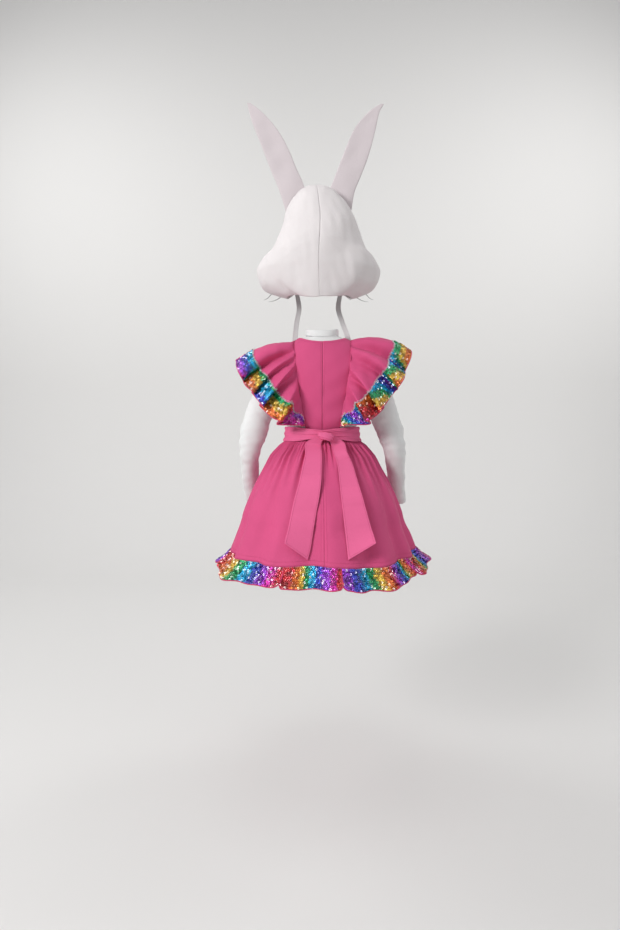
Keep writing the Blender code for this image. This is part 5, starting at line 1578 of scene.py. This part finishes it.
# %% Ear panels
EAR_DEPTH = 0.0075
EAR_EDGE = 0.0022
EAR_Y = 0.002
EAR_ROOT = 0.0077
EAR_LEFT = [
    (0.00, -0.1014, 0.3620, -0.0486, 0.4268, 0.0000),
    (0.14, -0.1200, 0.4210, -0.0570, 0.4510, 0.0010),
    (0.32, -0.1450, 0.4820, -0.0730, 0.4850, 0.0035),
    (0.50, -0.1680, 0.5410, -0.0910, 0.5290, 0.0055),
    (0.66, -0.1840, 0.5810, -0.1130, 0.5710, 0.0055),
    (0.80, -0.1960, 0.6120, -0.1410, 0.6090, 0.0040),
    (0.92, -0.2050, 0.6430, -0.1720, 0.6400, 0.0020),
    (1.00, -0.2090, 0.6610, -0.2000, 0.6600, 0.0000),
]
EAR_RIGHT = [
    (0.00, 0.0206, 0.4224, 0.0814, 0.3612, 0.0000),
    (0.14, 0.0340, 0.4560, 0.0910, 0.4180, 0.0010),
    (0.32, 0.0510, 0.5010, 0.1100, 0.4660, 0.0035),
    (0.50, 0.0680, 0.5440, 0.1270, 0.5100, 0.0055),
    (0.66, 0.0890, 0.5900, 0.1400, 0.5540, 0.0055),
    (0.80, 0.1140, 0.6220, 0.1500, 0.5950, 0.0040),
    (0.92, 0.1400, 0.6450, 0.1590, 0.6350, 0.0020),
    (1.00, 0.1630, 0.6580, 0.1710, 0.6580, 0.0000),
]


def ear_form(table, rows, columns):
    """Middle sheet of an ear, base to tip, softly cupped."""
    place = (np.linspace(0.0, 1.0, rows) ** 0.92) * (len(table) - 1.0)
    row = rows_at(table, place)[:, None, :]
    share = np.linspace(0.0, 1.0, columns)[None, :]
    bulge = EAR_ROOT * np.sin(math.pi * share) * (1.0 - np.minimum(row[..., 0] / 0.35, 1.0)) ** 2
    x = mix(row[..., 1], row[..., 3], share)
    x = x + bulge * 0.77 * np.sign(row[..., 1] + row[..., 3])
    z = mix(row[..., 2], row[..., 4], share) + bulge * 0.64
    y = EAR_Y + row[..., 5] * np.sin(math.pi * share) - 0.012 * row[..., 0] ** 2
    return stack(x, y, z)


def ear_puff(rows, columns):
    """Half thickness of the stuffing, thin at the seam."""
    along = np.linspace(0.0, 1.0, rows)[:, None]
    across = np.linspace(0.0, 1.0, columns)[None, :]
    full = np.sin(math.pi * across) ** 0.6 * (1.0 - along ** 5) * (0.7 + 0.3 * soft(along, 0.0, 0.15))
    return EAR_EDGE + (EAR_DEPTH - EAR_EDGE) * full


EAR_GRID = (120, 46)
for name, table in (("left", EAR_LEFT), ("right", EAR_RIGHT)):
    sheet = ear_form(table, *EAR_GRID)
    puff = ear_puff(*EAR_GRID)[..., None] * np.array([0.0, 1.0, 0.0])
    middle_full = (np.sin(math.pi * np.linspace(0.0, 1.0, EAR_GRID[1])) ** 0.5)[None, :, None]
    dent = (0.0008 * ripples(sheet, 0.05, 61))[..., None] * np.array([0.0, 1.0, 0.0])
    for face, sign in (("back", -1.0), ("front", 1.0)):
        inner = sheet + np.array([0.0, sign * 0.00015, 0.0])
        outer = inner + puff * sign + dent * middle_full
        item = cloth("ear_%s_of_%s" % (face, name), outer, 0.0, EAR_FLEECE, middle=inner, inner=inner)
        belongs(item, "ear_%s_%s" % (name, face))

# %% [markdown]
# ## Sewing lines
#
# Each edge that a maker would sew down gets its row of stitches: cuffs, neck edge, back seams,
# ruffle seams, skirt hem and the sides and ends of the sash tails. A stitch is a short bar of
# thread that dips into the cloth at both ends, about two millimetres long, so thousands of copies
# of one pattern are enough.

# %% Stitches along the sewn lines
def add_stitches(name, line, outward, thread, step=0.0034, length=0.0024):
    """A row of stitches along a line that lies on the cloth."""
    path = path_of(line)
    place = np.arange(0.5 * step, path[-1], step)
    spot, up, along = [on_path(place, path, part)
                       for part in (line, outward, np.gradient(line, axis=0))]
    repeat(name, STITCH_PATTERN, spot + unit(up) * 0.00015, unit(along), unit(up), thread,
           np.full((len(place), 3), length))


for name, (line, outward) in sewn.items():
    add_stitches("stitches_" + name, line, outward, WHITE_THREAD if "cuff" in name else PINK_THREAD)

# %% [markdown]
# ## Tie ribbons and whiskers
#
# Two satin ribbons hang from the hood's lower front corners, over the shoulders. A ribbon is woven
# with firm edges, so it turns and twists without creasing. The whiskers are short dark plastic
# threads that are pushed through the cloth of the cheeks.

# %% Ribbons and whiskers
RIBBON = [
    (0.0570, 0.0580, 0.1050, -22.0),
    (0.0660, 0.0540, 0.0620, -14.0),
    (0.0740, 0.0480, 0.0260, -6.0),
    (0.0775, 0.0440, 0.0040, 0.0),
    (0.0780, 0.0450, -0.0160, 0.0),
    (0.0780, 0.0545, -0.0300, 2.0),
    (0.0780, 0.0648, -0.0480, 8.0),
    (0.0780, 0.0728, -0.0660, 19.0),
    (0.0780, 0.0788, -0.0860, 30.0),
    (0.0775, 0.0838, -0.1050, 40.0),
    (0.0775, 0.0890, -0.1240, 42.0),
    (0.0770, 0.0933, -0.1400, 42.0),
    (0.0770, 0.0958, -0.1560, 37.0),
    (0.0765, 0.0975, -0.1660, 32.0),
]
RIBBON_WIDTH = 0.015
RIBBON_INSET = 0.0090
RIBBON_TURN = 41.0


def hood_normal(turn, level, side):
    """Outward direction of the hood's face."""
    across = hood_side(turn + 1.0, level, side) - hood_side(turn - 1.0, level, side)
    below = min(level + 0.1, LAST_HOOD_LEVEL)
    down = hood_side(turn, below, side) - hood_side(turn, level - 0.1, side)
    normal = unit(np.cross(down, across))
    return normal if normal[1] > 0.0 else -normal


def make_ribbon(name, side):
    """One tie ribbon, sewn inside the hood's lower front corner."""
    rows = []
    for level in (12.3, LAST_HOOD_LEVEL):
        p = hood_side(RIBBON_TURN, level, side) - hood_normal(RIBBON_TURN, level, side) * RIBBON_INSET
        along = hood_side(RIBBON_TURN - 3.0, level, side) - hood_side(RIBBON_TURN + 3.0, level, side)
        rows.append((side * p[0], p[1], p[2], math.degrees(math.atan2(along[1], side * along[0]))))
    for number, (x, y, z, turn) in enumerate(RIBBON):
        rows.append((x + HOOD_CENTRE_X * side * (1.0 - float(soft(number, 0.0, 3.0))), y, z, turn))
    row = rows_at(rows, np.linspace(0.0, len(rows) - 1.0, 120))[:, None, :]
    turn = np.radians(row[..., 3])
    reach = RIBBON_WIDTH * (np.linspace(0.0, 1.0, 12)[None, :] - 0.5)
    cup = 0.0006 * np.cos(math.pi * reach / RIBBON_WIDTH)
    grid = stack(row[..., 0] + np.cos(turn) * reach, row[..., 1] + np.sin(turn) * reach + cup,
                 row[..., 2])
    grid = grid * np.array([side, 1.0, 1.0])
    item = cloth("tie_ribbon_" + name, grid, 0.0011, RIBBON_SATIN)
    belongs(item, "ribbon_" + name)


def make_whisker(name, side, level, turn, reach):
    """A tapered plastic thread on the cheek."""
    root = hood_side(turn, level, side) + hood_normal(turn, level, side) * 0.0012
    way = np.array(reach)
    u = unit(np.cross(way, np.array([0.0, 0.0, 1.0])))
    v = unit(np.cross(way, u))
    share = np.linspace(0.0, 1.0, 20)[:, None]
    angle = np.linspace(0.0, 2.0 * math.pi, 12, endpoint=False)[None, :]
    radius = mix(0.0009, 0.0003, share)[..., None]
    sag = np.array([0.0, 0.0, -0.003]) * np.sin(math.pi * share)[..., None]
    middle = root + way * share[..., None] + sag
    grid = middle + (u * np.cos(angle)[..., None] + v * np.sin(angle)[..., None]) * radius
    item = cloth("cheek_" + name, grid, 0.0002, WHISKER_PLASTIC, closed=True)
    belongs(item, name)


WHISKER_PLASTIC = plain_material("dark_whisker_plastic", (0.03, 0.03, 0.032, 1.0), 0.45)
for name, side in SIDES:
    make_ribbon(name, side)
make_whisker("whisker_left_upper", -1.0, 11.6, 14.0, (-0.0200, -0.0030, -0.0160))
make_whisker("whisker_left_lower", -1.0, 12.25, 19.0, (-0.0330, -0.0030, -0.0130))
make_whisker("whisker_right_upper", 1.0, 11.6, 14.0, (0.0200, -0.0030, -0.0160))
make_whisker("whisker_right_lower", 1.0, 12.3, 19.0, (0.0330, -0.0030, -0.0130))

# %% [markdown]
# ## The patterns leave the scene
#
# The sequin and the stitch served only as patterns, so they leave the scene. The cloth may stand out
# from the plain solids by a few millimetres and no more.

# %% Remove the patterns
for pattern in (SEQUIN_PATTERN, STITCH_PATTERN):
    bpy.data.objects.remove(pattern, do_unlink=True)
